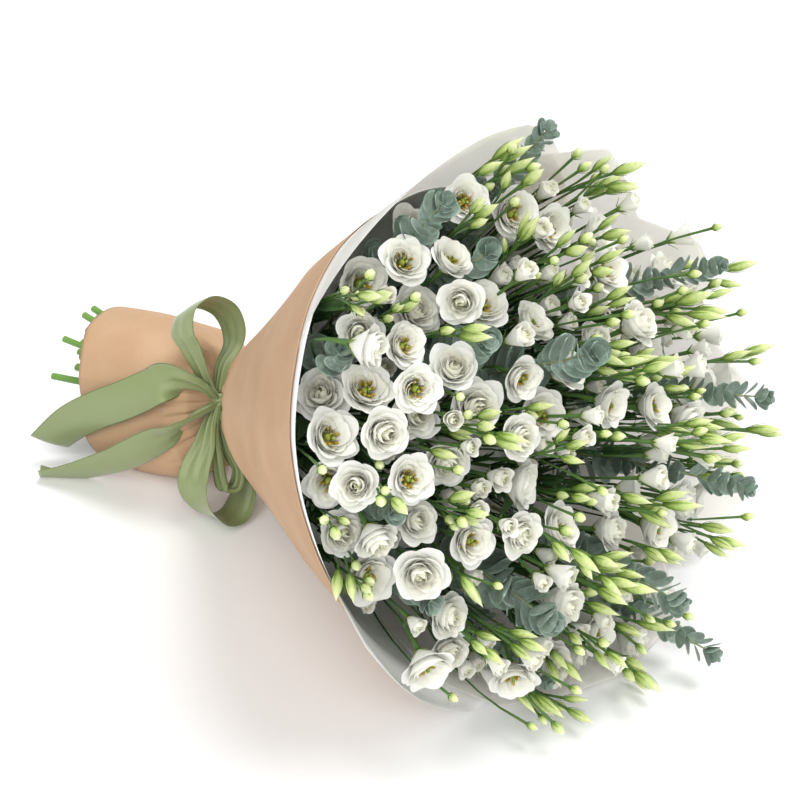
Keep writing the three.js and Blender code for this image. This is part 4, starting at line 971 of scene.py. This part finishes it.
def petalGrid(bloom, angle, whorl, rng):
    _, reach, height, flare, curl, half, _ = whorl
    size, foot, widest = bloom.radius * bloomLook["grown"], bloomLook["foot"], bloomLook["widest"]
    v, u = lengthAndWidth(bloomLook["rows"], bloomLook["cols"])
    reach = size * reach * rng.uniform(0.94, 1.05)
    height = size * bloomLook["height"] * height * rng.uniform(0.94, 1.04)
    notch = 0.02 * np.exp(-(u * 3) ** 2) * v ** 6
    t = v * (1 - 0.24 * np.abs(u) ** 2.3) - notch  # a round petal
    rounded = 0.13 + 0.87 * np.sin(np.minimum(v / widest, 1) * math.pi / 2) ** 1.1
    width = size * half * rng.uniform(0.94, 1.06) * rounded
    width = width * (1 - 0.14 * np.clip((v - widest) / 0.32, 0, 1) ** 2)
    r = foot + (reach - foot) * cupCurve(t) - curl * size * 1.6 * t ** 4
    z = height * (t ** 1.05 - flare * t ** 5)
    wave = rng.uniform(0, 2 * math.pi, 3)
    ruffle = size * bloomLook["ruffle"] * v ** 2.5 * (
        np.sin(u * 2.6 + wave[0]) + 0.5 * np.sin(u * 5.2 + wave[1]) * v ** 2
        + 0.16 * np.sin(u * 9 + wave[2]) * v ** 4)
    r = r + ruffle * 0.8 + size * 0.055 * u * t  # one edge outside its neighbour, as in a pinwheel
    r = r + size * 0.07 * (1 - u * u) * np.sin(math.pi * v) - size * 0.08 * u * u * v  # cupped
    z = z + ruffle * 0.7 - size * 0.03 * u * u * v
    r = np.maximum(r, 0.5)
    theta = angle + u * width / np.maximum(r, width * 0.62)
    tip = rng.uniform(-0.05, 0.05, 2) * size
    first, second = crossDirections(bloom.facing)
    point = roundStalk(bloom.base, bloom.facing, z, r, theta)
    return point + (v ** 2)[..., None] * (tip[0] * first + tip[1] * second)


def ellipsoid(centre, direction, long, wide, rows, cols):
    first, second = crossDirections(direction)
    tip = 0.02  # radians left open at each end
    a = np.linspace(tip, math.pi - tip, rows)[:, None, None]
    b = np.linspace(0, 2 * math.pi, cols, endpoint=False)[None, :, None]
    return centre - np.cos(a) * direction * long + np.sin(a) * wide * (np.cos(b) * first + np.sin(b) * second)


def addSepals(shape, bloom, reach, rng):  # narrow pointed sepals hold the cup
    for i in range(bloomLook["sepals"]):
        a = math.radians(bloom.spin) + 2 * math.pi * (i + 0.5) / bloomLook["sepals"] + rng.uniform(-0.1, 0.1)
        v, u = lengthAndWidth(8, 3)
        t = v * reach
        away = v * v * rng.uniform(0.3, 1.8)
        r = 2.8 + (bloom.radius - bloomLook["foot"]) * cupCurve(t) + away - 0.5 * u * u
        z = bloom.radius * bloomLook["height"] * 0.8 * t ** 1.05 - 0.6
        theta = a + u * 1.5 * (1 - v ** 1.5) / np.maximum(r, 1.6)
        shape.add(roundStalk(bloom.base, bloom.facing, z, r, theta), sepalGreen)


def addHeart(shape, bloom, rng):  # ovary, a stigma with two lobes, and stamens
    first, second = crossDirections(bloom.facing)
    size = bloom.radius
    middle = bloom.base + bloom.facing * (size * bloomLook["height"]) * 0.4
    shape.add(ellipsoid(middle, bloom.facing, size * 0.3, size * 0.17, 8, 12), pistilGreen)
    for side in (-1, 1):
        lobe = middle + bloom.facing * size * 0.4 + first * side * size * 0.06
        way = unit(bloom.facing + first * side * 0.6)
        shape.add(ellipsoid(lobe, way, size * 0.1, size * 0.07, 6, 8), pistilGreen, 1.0)
    for i in range(bloomLook["stamens"]):
        a = 2 * math.pi * i / bloomLook["stamens"] + rng.uniform(-0.25, 0.25)
        out = first * math.cos(a) + second * math.sin(a)
        place = middle + bloom.facing * size * rng.uniform(0.08, 0.3) + out * size * rng.uniform(0.2, 0.4)
        line = unit(bloom.facing * rng.uniform(0.3, 0.9) + out * 0.6 + second * rng.uniform(-0.5, 0.5))
        shape.add(ellipsoid(place, line, size * 0.14, size * 0.065, 6, 7), antherGold)
        foot = middle + out * size * 0.06 - bloom.facing * size * 0.15
        shape.add(tube([foot, place], [0.3, 0.25], 5), pistilGreen)


def addBloom(shape, bloom, rng):
    opened = rng.random() < bloomLook["openShare"]
    spin = math.radians(bloom.spin)
    for k, whorl in enumerate(openWhorls if opened else roseWhorls):
        count = whorl[0]
        for i in range(count):
            angle = spin + 2 * math.pi * (i + 0.5 * (k % 2) + rng.uniform(-0.07, 0.07)) / count + 0.35 * k
            shape.add(petalGrid(bloom, angle, whorl, rng), petalFresh, whorl[6] + rng.uniform(0, 0.08))
    if opened:
        addHeart(shape, bloom, rng)
    addSepals(shape, bloom, 0.5, rng)


def addHalfOpen(shape, flower, rng):  # upright cup of overlapping petals, greenish in its heart
    spin = math.radians(flower.spin)
    for k, whorl in enumerate(halfWhorls):
        for i in range(whorl[0]):
            angle = spin + 2 * math.pi * (i + rng.uniform(-0.08, 0.08)) / whorl[0] + 0.7 * k
            shape.add(petalGrid(flower, angle, whorl, rng), petalFresh, whorl[6] + rng.uniform(0, 0.1))
    addSepals(shape, flower, 0.62, rng)


budLook = {"rows": 16, "cols": 20, "petals": 5}
longBud = {"long": (1.15, 1.4), "wide": (0.72, 0.94), "peak": 0.42, "point": 1.15, "twist": 2.6}
roundBud = {"long": 0.82, "wide": 1.15, "peak": 0.5, "point": 0.8, "twist": 1.2}


def budProfile(v, peak, point):  # radius along a bud, from its foot over its widest place to its tip
    low = np.maximum(np.sin(np.minimum(v / peak, 1) * math.pi / 2), 0) ** 0.8
    high = np.maximum(np.cos(np.clip((v - peak) / (1 - peak), 0, 1) * math.pi / 2), 0) ** point
    return np.maximum(np.where(v < peak, low, high), 0.03)


def addBud(shape, bud, rng):
    look, petals = roundBud if bud.round else longBud, budLook["petals"]
    direction = unit(bud.tip - bud.base)
    long = norm(bud.tip - bud.base) * (look["long"] if bud.round else rng.uniform(*look["long"]))
    wide = bouquet["budRadius"] * bud.size * (look["wide"] if bud.round else rng.uniform(*look["wide"]))
    v = np.linspace(0.0, 1, budLook["rows"])[:, None]
    a = np.linspace(0, 2 * math.pi, budLook["cols"], endpoint=False)[None, :]
    turns = a + v * look["twist"]
    r = wide * budProfile(v, look["peak"], look["point"])
    r = r * (1 + 0.13 * np.abs(np.sin(turns * (petals / 2))) * v ** 0.6 - 0.06)  # furled petals
    shape.add(roundStalk(bud.base, direction, v * long, r, a), budGreen, closed=True)
    for i in range(petals):
        angle = 2 * math.pi * i / petals + rng.uniform(-0.1, 0.1)
        v, u = lengthAndWidth(8, 3)
        s = v * rng.uniform(0.5, 0.8)
        r = wide * budProfile(s, look["peak"], 1) * 1.1 + 0.5 + v ** 3 * rng.uniform(0.3, 1.6) - 0.25 * u * u
        theta = angle + u * 1.1 * (1 - v ** 1.6) / r
        shape.add(roundStalk(bud.base, direction, s * long - 0.5, r, theta), sepalGreen)


stemLook = {"step": 14, "sides": 12, "thickFrom": 130, "node": 1.15, "nodeStep": 5, "brightRings": 7,
            "leafLong": (16, 30), "leafWide": 0.19}


def addStem(shape, plant, material, rng):
    path = plant.path[:plant.leafFrom + 1] if plant.leafy else plant.path
    points = subdivided(path, stemLook["step"])
    below = [smooth(float(-point @ axis) / stemLook["thickFrom"]) for point in points]  # thicker near the cut
    thick = bouquet["cutRadius"] - bouquet["stemRadius"]
    radii = [(bouquet["stemRadius"] + thick * share) * rng.uniform(0.95, 1.04) for share in below]
    for i in range(4 + int(rng.random() * 3), len(points) - 1, stemLook["nodeStep"]):
        radii[i] *= stemLook["node"]  # where leaves were stripped
    rings = tube(points, radii, stemLook["sides"])
    # the lowest rings, out in the light, take the painted lit copy of the stem's green; for a spray the rest
    # take the darker painted-shade copy
    shape.add(rings[:stemLook["brightRings"]], stemLitGreen, rng.random(), closed=True)
    shape.add(rings[stemLook["brightRings"] - 1:], material, rng.random(), closed=True)
    direction = unit(points[1] - points[0])
    ends = [points[0], points[0] - direction * 0.3, points[0] - direction * 0.4]
    shape.add(tube(ends, [radii[0], radii[0] * 0.8, 0.05], stemLook["sides"]), stemCut, 0.5, closed=True)


def addBranch(shape, branch, thick, thin, ends, sides, rng):  # it widens where the cup sits on it
    radii = list(np.linspace(thick, thin, len(branch) - 2)) + ends
    # branches take the stem green that is darkened as painted shade
    shape.add(tube(branch, radii, sides), stemShadedGreen, rng.random(), closed=True)


def addFreshLeaf(shape, root, along, normal, long, rng):  # long leaf, folded along its rib and arched
    v, u = lengthAndWidth(9, 5)
    half = long * stemLook["leafWide"] * np.sin(math.pi * v ** 0.8) ** 0.8 + 0.25
    droop = -long * 0.22 * v ** 2 + 0.35 * np.abs(u) * half
    grid = root + (v * long + 0 * u)[..., None] * along + (u * half)[..., None] * cross(along, normal)
    # the leaf green is darkened as painted shade
    shape.add(grid + droop[..., None] * normal, leafShadedGreen, rng.random())


def addStemLeaves(shape, plant, rng):  # two at the foot of each side branch, where there is room
    stem = headDirection(plant, plant.top)
    mine = taken.owner[:taken.count] == plant.index
    for branch in [b.branch for b in plant.blooms[1:]] + [b.branch for b in plant.buds]:
        out = unit(unit(branch[3] - branch[0]) - stem * 0.2)
        long = rng.uniform(*stemLook["leafLong"])
        for share, way in ((0.0, 1), (0.45, -1)):
            root = mix(branch[0], branch[4], share)
            spin = rng.uniform(-0.9, 0.9) + (0 if way > 0 else math.pi)
            aside = out * math.cos(spin) + cross(stem, out) * math.sin(spin)
            along = unit(aside + stem * rng.uniform(0.5, 1.1))
            end = root + along * long
            if room(root + along * 8, end, 2.5, mine) > 0 and paperRoom(end, 2) > 0:
                addFreshLeaf(shape, root, along, squareTo(stem, along), long, rng)


def makeSpray(plant, rng):
    shape = Shape(petalFresh, stemShadedGreen, sepalGreen, budGreen, antherGold, pistilGreen, stemCut, leafShadedGreen,
                  stemLitGreen)
    addStem(shape, plant, stemShadedGreen, rng)
    for bloom in plant.blooms:
        addBranch(shape, bloom.branch, bouquet["branchRadius"], 0.95, [1.6, 2.4], 8, rng)
        addBloom(shape, bloom, rng)
    for flower in plant.halfOpen:
        addBranch(shape, flower.branch, 1.1, 0.85, [1.2, 1.9], 7, rng)
        addHalfOpen(shape, flower, rng)
    for bud in plant.buds:
        addBranch(shape, bud.branch, 0.95, 0.7, [0.9, 1.3], 6, rng)
        addBud(shape, bud, rng)
    addStemLeaves(shape, plant, rng)
    number = plant.index + 1
    makePiece(f"spray_{number:02d}", shape, f"lisianthus_{number:02d}")


for plant in plants:
    if not plant.leafy:
        makeSpray(plant, np.random.default_rng(100 + plant.index))
print("lisianthus sprays made")

# eucalyptus

eucalyptusLook = {"rows": 10, "cols": 9, "foot": 1.2, "cup": 0.16, "grown": 1.16, "twigThick": 1.75,
                  "twigThin": 0.7}


def addRoundLeaf(shape, leaf, rng):
    v, u = lengthAndWidth(eucalyptusLook["rows"], eucalyptusLook["cols"])
    size = leaf.radius * eucalyptusLook["grown"]
    s = np.sin(v * math.pi / 2 * 0.999) ** 2  # rows crowd at both ends, so that the outline stays round
    half = size * np.sqrt(np.maximum(1 - (2 * s - 1) ** 2, 0)) + 0.7 * (1 - s)
    reach = eucalyptusLook["foot"] + 2 * size * s
    wave = rng.uniform(0, 2 * math.pi)
    bend = rng.uniform(-0.12, 0.28)
    lift = size * eucalyptusLook["cup"] * (u * u) * (half / size) ** 2 + size * bend * s * s
    lift = lift + size * 0.05 * np.sin(3 * u + wave) * s - size * 0.04 * np.exp(-(u * 5) ** 2)
    grid = leaf.base + (reach + 0 * u)[..., None] * leaf.along + (u * half)[..., None] * leaf.wide
    shape.add(grid + lift[..., None] * leaf.normal, eucalyptusLeaf, rng.random())


def makeFrond(plant, rng):
    shape = Shape(eucalyptusLeaf, eucalyptusStem, stemCut, stemLitGreen)
    addStem(shape, plant, eucalyptusStem, rng)
    spine = plant.path[plant.leafFrom:]
    radii = np.linspace(eucalyptusLook["twigThick"], eucalyptusLook["twigThin"], len(spine))
    shape.add(tube(spine, radii, 8), eucalyptusStem, rng.random(), closed=True)
    for leaf in [leaf for pair in plant.pairs for leaf in pair.leaves] + plant.twigs:
        addRoundLeaf(shape, leaf, rng)
    number = plant.index - len(sprays) + 1
    makePiece(f"frond_{number:02d}", shape, f"eucalyptus_{number:02d}")


for plant in plants:
    if plant.leafy:
        makeFrond(plant, np.random.default_rng(300 + plant.index))
print("eucalyptus fronds made")

# paper

kraftLook = {"columns": 320, "thickness": 0.35, "facets": 22, "facetDepth": 1.1, "facetSeed": 5,
             "neckFolds": 26, "neckDepth": 2.6, "neckSeed": 9, "neckTwist": 0.06}
liningLook = {"columns": 320, "thickness": 0.2, "depth": 1.3, "waves": 30, "waveSeed": 21, "waveDepth": 0.4,
              "lean": [(0, 0), (75, 1), (105, 6), (130, 11), (155, 11), (180, 4), (210, 0), (360, 0)]}
tissueLook = {"thickness": 0.2, "depth": 1.0, "step": 1.2, "crinkle": 2.6, "crinkles": 34, "crinkleSeed": 31,
              "low": 200, "rows": 60, "free": 70}
tissueSheets = [  # name, layer, and the rim's turns and heights
    ("left", 0, [(315, 300), (337.5, 338), (348.75, 350), (360, 345), (382.5, 306), (400, 268), (412, 250)]),
    ("back", 2, [(270, 330), (281.25, 376), (292.5, 374), (303.75, 340), (326.25, 356), (337.5, 318)]),
    ("right", 3, [(213.75, 340), (225, 376), (236.25, 400), (247.5, 378), (258.75, 390), (281.25, 330)]),
    ("under", 4, [(135, 300), (146.25, 318), (168.75, 362), (180, 380), (202.5, 382), (225, 330)]),
]


def facets(turn, seed, count):  # flat panels between long soft creases: -1 to 1
    rng = np.random.default_rng(seed)
    at = np.sort((np.arange(count) + rng.uniform(-0.35, 0.35, count)) * 360 / count)
    level = rng.uniform(-1, 1, count)
    return np.interp(turn % 360, at, level, period=360)


def sharpFolds(turn, seed, count):  # gathered paper: steep little pleats of uneven size
    rng = np.random.default_rng(seed)
    at = np.sort((np.arange(2 * count) + rng.uniform(-0.3, 0.3, 2 * count)) * 180 / count)
    level = np.where(np.arange(2 * count) % 2 == 0, 1, -1) * rng.uniform(0.4, 1, 2 * count)
    return np.interp(turn % 360, at, level, period=360)


def kraftDepth(h, turn):
    look = kraftLook
    fan = facets(turn, look["facetSeed"], look["facets"]) * look["facetDepth"]
    fan = fan * smooth((np.abs(h) - 20) / 120)
    neck = sharpFolds(turn + look["neckTwist"] * h, look["neckSeed"], look["neckFolds"]) * look["neckDepth"]
    neck = neck * smooth((np.abs(h) - 5) / 14) * (1 - smooth((np.abs(h) - 24) / 34))
    return fan + np.abs(neck) * 0.5 + neck * 0.5


def makePaper(name, node, paper, columns, thickness, closed=True):
    shape = Shape(paper)
    shape.add(np.array(columns).transpose(1, 0, 2), paper, closed=closed)
    thicken(makePiece(name, shape, node), thickness)


def makeKraft(look):
    gathered = np.concatenate([np.linspace(-36, 36, 49), np.linspace(42, 70, 6)])
    columns = []
    for turn in np.linspace(0, 360, look["columns"], endpoint=False):
        skirt = np.linspace(float(kraftFoot(turn)), -40, 26)
        h = np.concatenate([skirt, gathered, np.linspace(76, float(kraftRim(turn)), 40)])
        columns.append(wallPoint(h, turn, kraftDepth(h, turn)))
    makePaper("kraft_paper", "kraft_wrap", kraftPaper, columns, look["thickness"])


def makeLining(look):
    columns = []
    for turn in np.linspace(0, 360, look["columns"], endpoint=False):
        rim = float(liningRim(turn))
        h = np.concatenate([np.linspace(16, 70, 16), np.linspace(76, rim, 44)])
        wave = look["waveDepth"] * (1 + facets(turn, look["waveSeed"], look["waves"]))
        wave = wave * smooth((h - rim + 60) / 60)
        lean = float(lookup(look["lean"], turn)) * np.clip((h - float(kraftRim(turn)) + 2) / 18, 0, 1) ** 1.4
        columns.append(wallPoint(h, turn, look["depth"] + kraftDepth(h, turn) + wave - lean))
    makePaper("lining_paper", "ivory_lining", liningPaper, columns, look["thickness"])


def makeTissue(name, layer, rim, look):  # it lies along the kraft, and is free and crinkled past its rim
    columns = []
    for turn in np.linspace(rim[0][0], rim[-1][0], int((rim[-1][0] - rim[0][0]) * 1.4)):
        top = float(lookup(rim, turn))
        h = np.linspace(look["low"], top, look["rows"])
        free = smooth((h - max(top - look["free"], float(kraftRim(turn)))) / look["free"])
        crinkle = facets(turn + 0.05 * h, look["crinkleSeed"] + layer, look["crinkles"])
        crinkle = crinkle * look["crinkle"] * free
        depth = look["depth"] + look["step"] * layer + kraftDepth(h, turn) * (1 - free) + crinkle
        columns.append(wallPoint(h, turn, depth))
    makePaper(f"tissue_{name}", f"ivory_sheet_{name}", ivoryPaper, columns, look["thickness"],
              closed=False)


makeKraft(kraftLook)
makeLining(liningLook)
for name, layer, rim in tissueSheets:
    makeTissue(name, layer, rim, tissueLook)
print("paper made")

# twine: three turns of two twisted strands

twineLook = {"turns": 3, "pitch": 2.5, "radius": 17.9, "strand": 0.62, "twist": 26, "points": 241, "sides": 6}


def makeTwine(look):
    shape = Shape(juteTwine)
    angles = np.linspace(0, 360, look["points"])
    for k in range(look["turns"]):
        for strand in range(2):
            phase = np.radians(angles * look["twist"] + 180 * strand)
            h = (k - 1) * look["pitch"] + look["strand"] * np.sin(phase)
            path = around(h, look["radius"] + look["strand"] * np.cos(phase), angles)
            shape.add(tube(path, [look["strand"]] * len(path), look["sides"]), juteTwine, closed=True)
    makePiece("jute_twine", shape, "binding_twine")


makeTwine(twineLook)
print("twine made")

# ribbon: a bow with two loops and two tails, gathered into folds at the knot

ribbonLook = {"width": 37, "thickness": 0.3, "columns": 25, "rows": 90, "waves": 2.5, "endRows": 15,
              "blur": 6, "knotTurn": 64, "knotRows": 60, "knotColumns": 31, "knotOut": 5.5}
# stations: height along the axis, radius, turn, how wide it lies open, how far its width turns from the axis
loopUpper = [
    (0, 27, 58, 0.22, 0), (0, 40, 45, 0.36, 8), (-1, 56, 34, 0.62, 15), (-3, 76, 27, 0.9, 20),
    (-4, 94, 23, 1, 22), (-3, 105, 15, 1, 24), (0, 104, 4, 1, 26), (5, 91, -5, 1, 24),
    (7, 74, -9, 0.9, 20), (5, 56, -8, 0.66, 12), (2, 41, 12, 0.4, 6), (1, 28, 46, 0.22, 0),
]
loopLower = [
    (0, 27, 72, 0.22, 0), (0, 40, 96, 0.36, -6), (-1, 56, 112, 0.66, -10), (-2, 78, 118, 0.92, -12),
    (-2, 93, 123, 1, -12), (0, 105, 131, 1, -12), (3, 113, 144, 1, -10), (6, 108, 154, 1, -8),
    (8, 92, 159, 0.95, -6), (8, 72, 160, 0.8, -4), (4, 50, 140, 0.5, 0), (1, 28, 82, 0.22, 0),
]
loopInner = [
    (3, 27, 76, 0.16, 0), (5, 42, 104, 0.28, 0), (8, 58, 124, 0.4, 0), (9, 74, 134, 0.5, 0),
    (11, 84, 140, 0.55, 0), (16, 80, 146, 0.5, 0), (17, 64, 146, 0.4, 0), (10, 45, 128, 0.28, 0),
    (4, 28, 84, 0.16, 0),
]
tailUpper = [
    (0, 27, 60, 0.22, 0), (-4, 42, 48, 0.5, 14), (-14, 58, 48, 0.86, 32), (-30, 68, 52, 1, 52),
    (-52, 71, 62, 1, 64), (-80, 74, 72, 1, 72), (-112, 77, 81, 1, 74), (-148, 83, 92, 1, 72),
    (-188, 94, 107, 1, 66),
]
tailLower = [
    (0, 27, 70, 0.22, 0), (-4, 44, 78, 0.5, 14), (-14, 60, 86, 0.86, 32), (-30, 71, 94, 1, 50),
    (-55, 82, 102, 1, 60), (-84, 92, 109, 1, 62), (-116, 103, 113, 1, 58), (-150, 115, 115, 1, 48),
    (-184, 126, 115, 1, 38),
]


def curveThrough(points, count):  # centripetal Catmull-Rom, with its tangents
    points = np.array(points)
    whole = np.vstack([2 * points[0] - points[1], points, 2 * points[-1] - points[-2]])
    places = []
    for t in np.linspace(0, 1, count) * (len(points) - 1):
        i = min(int(t), len(points) - 2)
        w = t - i
        p = whole[i:i + 4]
        d = [max(norm(p[k + 1] - p[k]) ** 0.5, 1e-4) for k in range(3)]
        t1 = ((p[1] - p[0]) / d[0] - (p[2] - p[0]) / (d[0] + d[1]) + (p[2] - p[1]) / d[1]) * d[1]
        t2 = ((p[2] - p[1]) / d[1] - (p[3] - p[1]) / (d[1] + d[2]) + (p[3] - p[2]) / d[2]) * d[1]
        places.append(p[1] + t1 * w + (3 * p[2] - 3 * p[1] - 2 * t1 - t2) * w ** 2
                      + (2 * p[1] - 2 * p[2] + t1 + t2) * w ** 3)
    places = np.array(places)
    lines = np.gradient(places, axis=0)
    return places, lines / np.linalg.norm(lines, axis=1)[:, None]


def ribbonGrid(stations, wides, opens, seed, look, slant=0):
    places, lines = curveThrough(stations, look["rows"])
    share = np.linspace(0, len(stations) - 1, look["rows"])
    wide = np.array([np.interp(share, range(len(stations)), [w[k] for w in wides]) for k in range(3)]).T
    opens = np.interp(share, range(len(stations)), opens)
    blur = look["blur"]
    opens = np.convolve(np.pad(opens, blur, "edge"), np.ones(2 * blur + 1) / (2 * blur + 1), "valid")
    wide = wide - lines * (wide * lines).sum(1)[:, None]
    wide = wide / np.linalg.norm(wide, axis=1)[:, None]
    normal = np.cross(wide, lines)
    u = np.linspace(-1, 1, look["columns"])
    phase, drift = np.random.default_rng(seed).uniform(0, 6, 2)
    fold = 2 / math.pi * np.arcsin(0.96 * np.sin(u * look["waves"] * math.pi + phase))  # rounded zigzag
    grid = []
    for i in range(look["rows"]):
        slope = math.sqrt(max(1 / opens[i] ** 2 - 1, 0))
        half = opens[i] * look["width"] / 2
        height = fold * slope * half / look["waves"] / 2
        arch = 0.10 * half * (1 - u * u) * opens[i] + 0.25 * np.sin(share[i] * 1.3 + drift + u) * opens[i]
        shear = slant * u * smooth((i - look["rows"] + look["endRows"] + 1) / look["endRows"])  # cut aslant
        grid.append(places[i] + (u * half)[:, None] * wide[i] + (height + arch)[:, None] * normal[i]
                    + shear[:, None] * lines[i])
    grid = np.array(grid)
    grid[..., 2] = np.maximum(grid[..., 2], tableLevel + 0.5)
    return grid


def makeRibbon(name, grid, look):
    shape = Shape(satinRibbon)
    shape.add(grid, satinRibbon)
    piece = makePiece(name, shape, "satin_ribbon")
    thicken(piece, look["thickness"], 0)


def makeLoop(name, loop, seed, look):  # its width runs along the bouquet's axis
    stations = [around(h, r, turn) for h, r, turn, _, _ in loop]
    wides = [axis * math.cos(math.radians(a)) + over * math.sin(math.radians(a)) for *_, a in loop]
    makeRibbon(name, ribbonGrid(stations, wides, [p[3] for p in loop], seed, look), look)


def makeTail(name, tail, seed, slant, look):  # it turns over from the knot and lies with its face out
    stations = [around(h, r, turn) for h, r, turn, _, _ in tail]
    wides = [axis * math.cos(math.radians(a)) + around(0, 1, turn - 90) * math.sin(math.radians(a))
             for _, _, turn, _, a in tail]
    makeRibbon(name, ribbonGrid(stations, wides, [p[3] for p in tail], seed, look, slant), look)


def makeBand(look):
    turns = np.linspace(0, 360, 121)
    u = np.linspace(-1, 1, 15)
    radius = bouquet["neckRadius"] + 1.2
    grid = np.array([around(u * 5, radius + 0.45 * np.cos(u * 9 + 0.01 * turn), turn) for turn in turns])
    makeRibbon("ribbon_band", grid, look)


def makeKnot(look):  # the ribbon's own turn over the band, pinched into a rounded lump
    out = around(0, 1, look["knotTurn"])
    side = cross(axis, out)
    centre = around(0, bouquet["neckRadius"] + look["knotOut"], look["knotTurn"])
    u = np.linspace(-1, 1, look["knotColumns"])
    grid = []
    for a in np.linspace(-2.6, 2.6, look["knotRows"]):
        bulge = 1 - 0.25 * u * u + 0.06 * np.cos(u * 11 + a)
        spot = centre + math.cos(a) * out * 5.2 * bulge[:, None] + math.sin(a) * axis * 6.5 * bulge[:, None]
        grid.append(spot + (u * 7.5)[:, None] * side)
    makeRibbon("ribbon_knot", np.array(grid), look)


makeLoop("ribbon_loop_upper", loopUpper, 3, ribbonLook)
makeLoop("ribbon_loop_lower", loopLower, 4, ribbonLook)
makeLoop("ribbon_loop_inner", loopInner, 8, ribbonLook)
makeTail("ribbon_tail_upper", tailUpper, 5, 5, ribbonLook)
makeTail("ribbon_tail_lower", tailLower, 6, -13, ribbonLook)
makeBand(ribbonLook)
makeKnot(ribbonLook)
print("ribbon made")

# table and light

studio = {"floorColour": "#f3f3f3", "floorSize": 30.0, "floorRoughness": 0.55, "world": "#ffffff",
          "worldStrength": 0.56}
# name, the way it comes from, softness in degrees, strength, colour: wide diffused light as in a white tent
lamps = [("key", (0.23, 0.40, 1.0), 32, 2.1, "#ffffff"), ("fill", (0.34, -0.75, 0.75), 60, 1.75, "#ffffff")]


def makeFloor(look):
    half = look["floorSize"] / 2
    mesh = bpy.data.meshes.new("floor")
    corners = [(-half, -half, 0), (half, -half, 0), (half, half, 0), (-half, half, 0)]
    mesh.from_pydata(corners, [], [(0, 1, 2, 3)])
    colour = linear(look["floorColour"])
    finish = {"Roughness": look["floorRoughness"], "Base Color": colour}
    mesh.materials.append(newMaterial("tableLaminateMatt", finish)[0])
    floor = bpy.data.objects.new("floor", mesh)
    scene.collection.objects.link(floor)


def makeLight(look):
    world = bpy.data.worlds.new("studio")
    world.use_nodes = True
    background = world.node_tree.nodes["Background"]
    background.inputs[0].default_value = linear(look["world"])
    background.inputs[1].default_value = look["worldStrength"]
    scene.world = world
    for name, way, softness, strength, colour in lamps:
        data = bpy.data.lights.new(name, "SUN")
        data.angle, data.energy, data.color = math.radians(softness), strength, linear(colour)[:3]
        lamp = bpy.data.objects.new(name, data)
        back = unit(np.array(way))
        lamp.matrix_world = turnedTo(*crossDirections(back), back, 2 * back)
        scene.collection.objects.link(lamp)
    scene.view_settings.view_transform = "Standard"


makeFloor(studio)
makeLight(studio)
print("studio made")

bpy.context.view_layer.update()
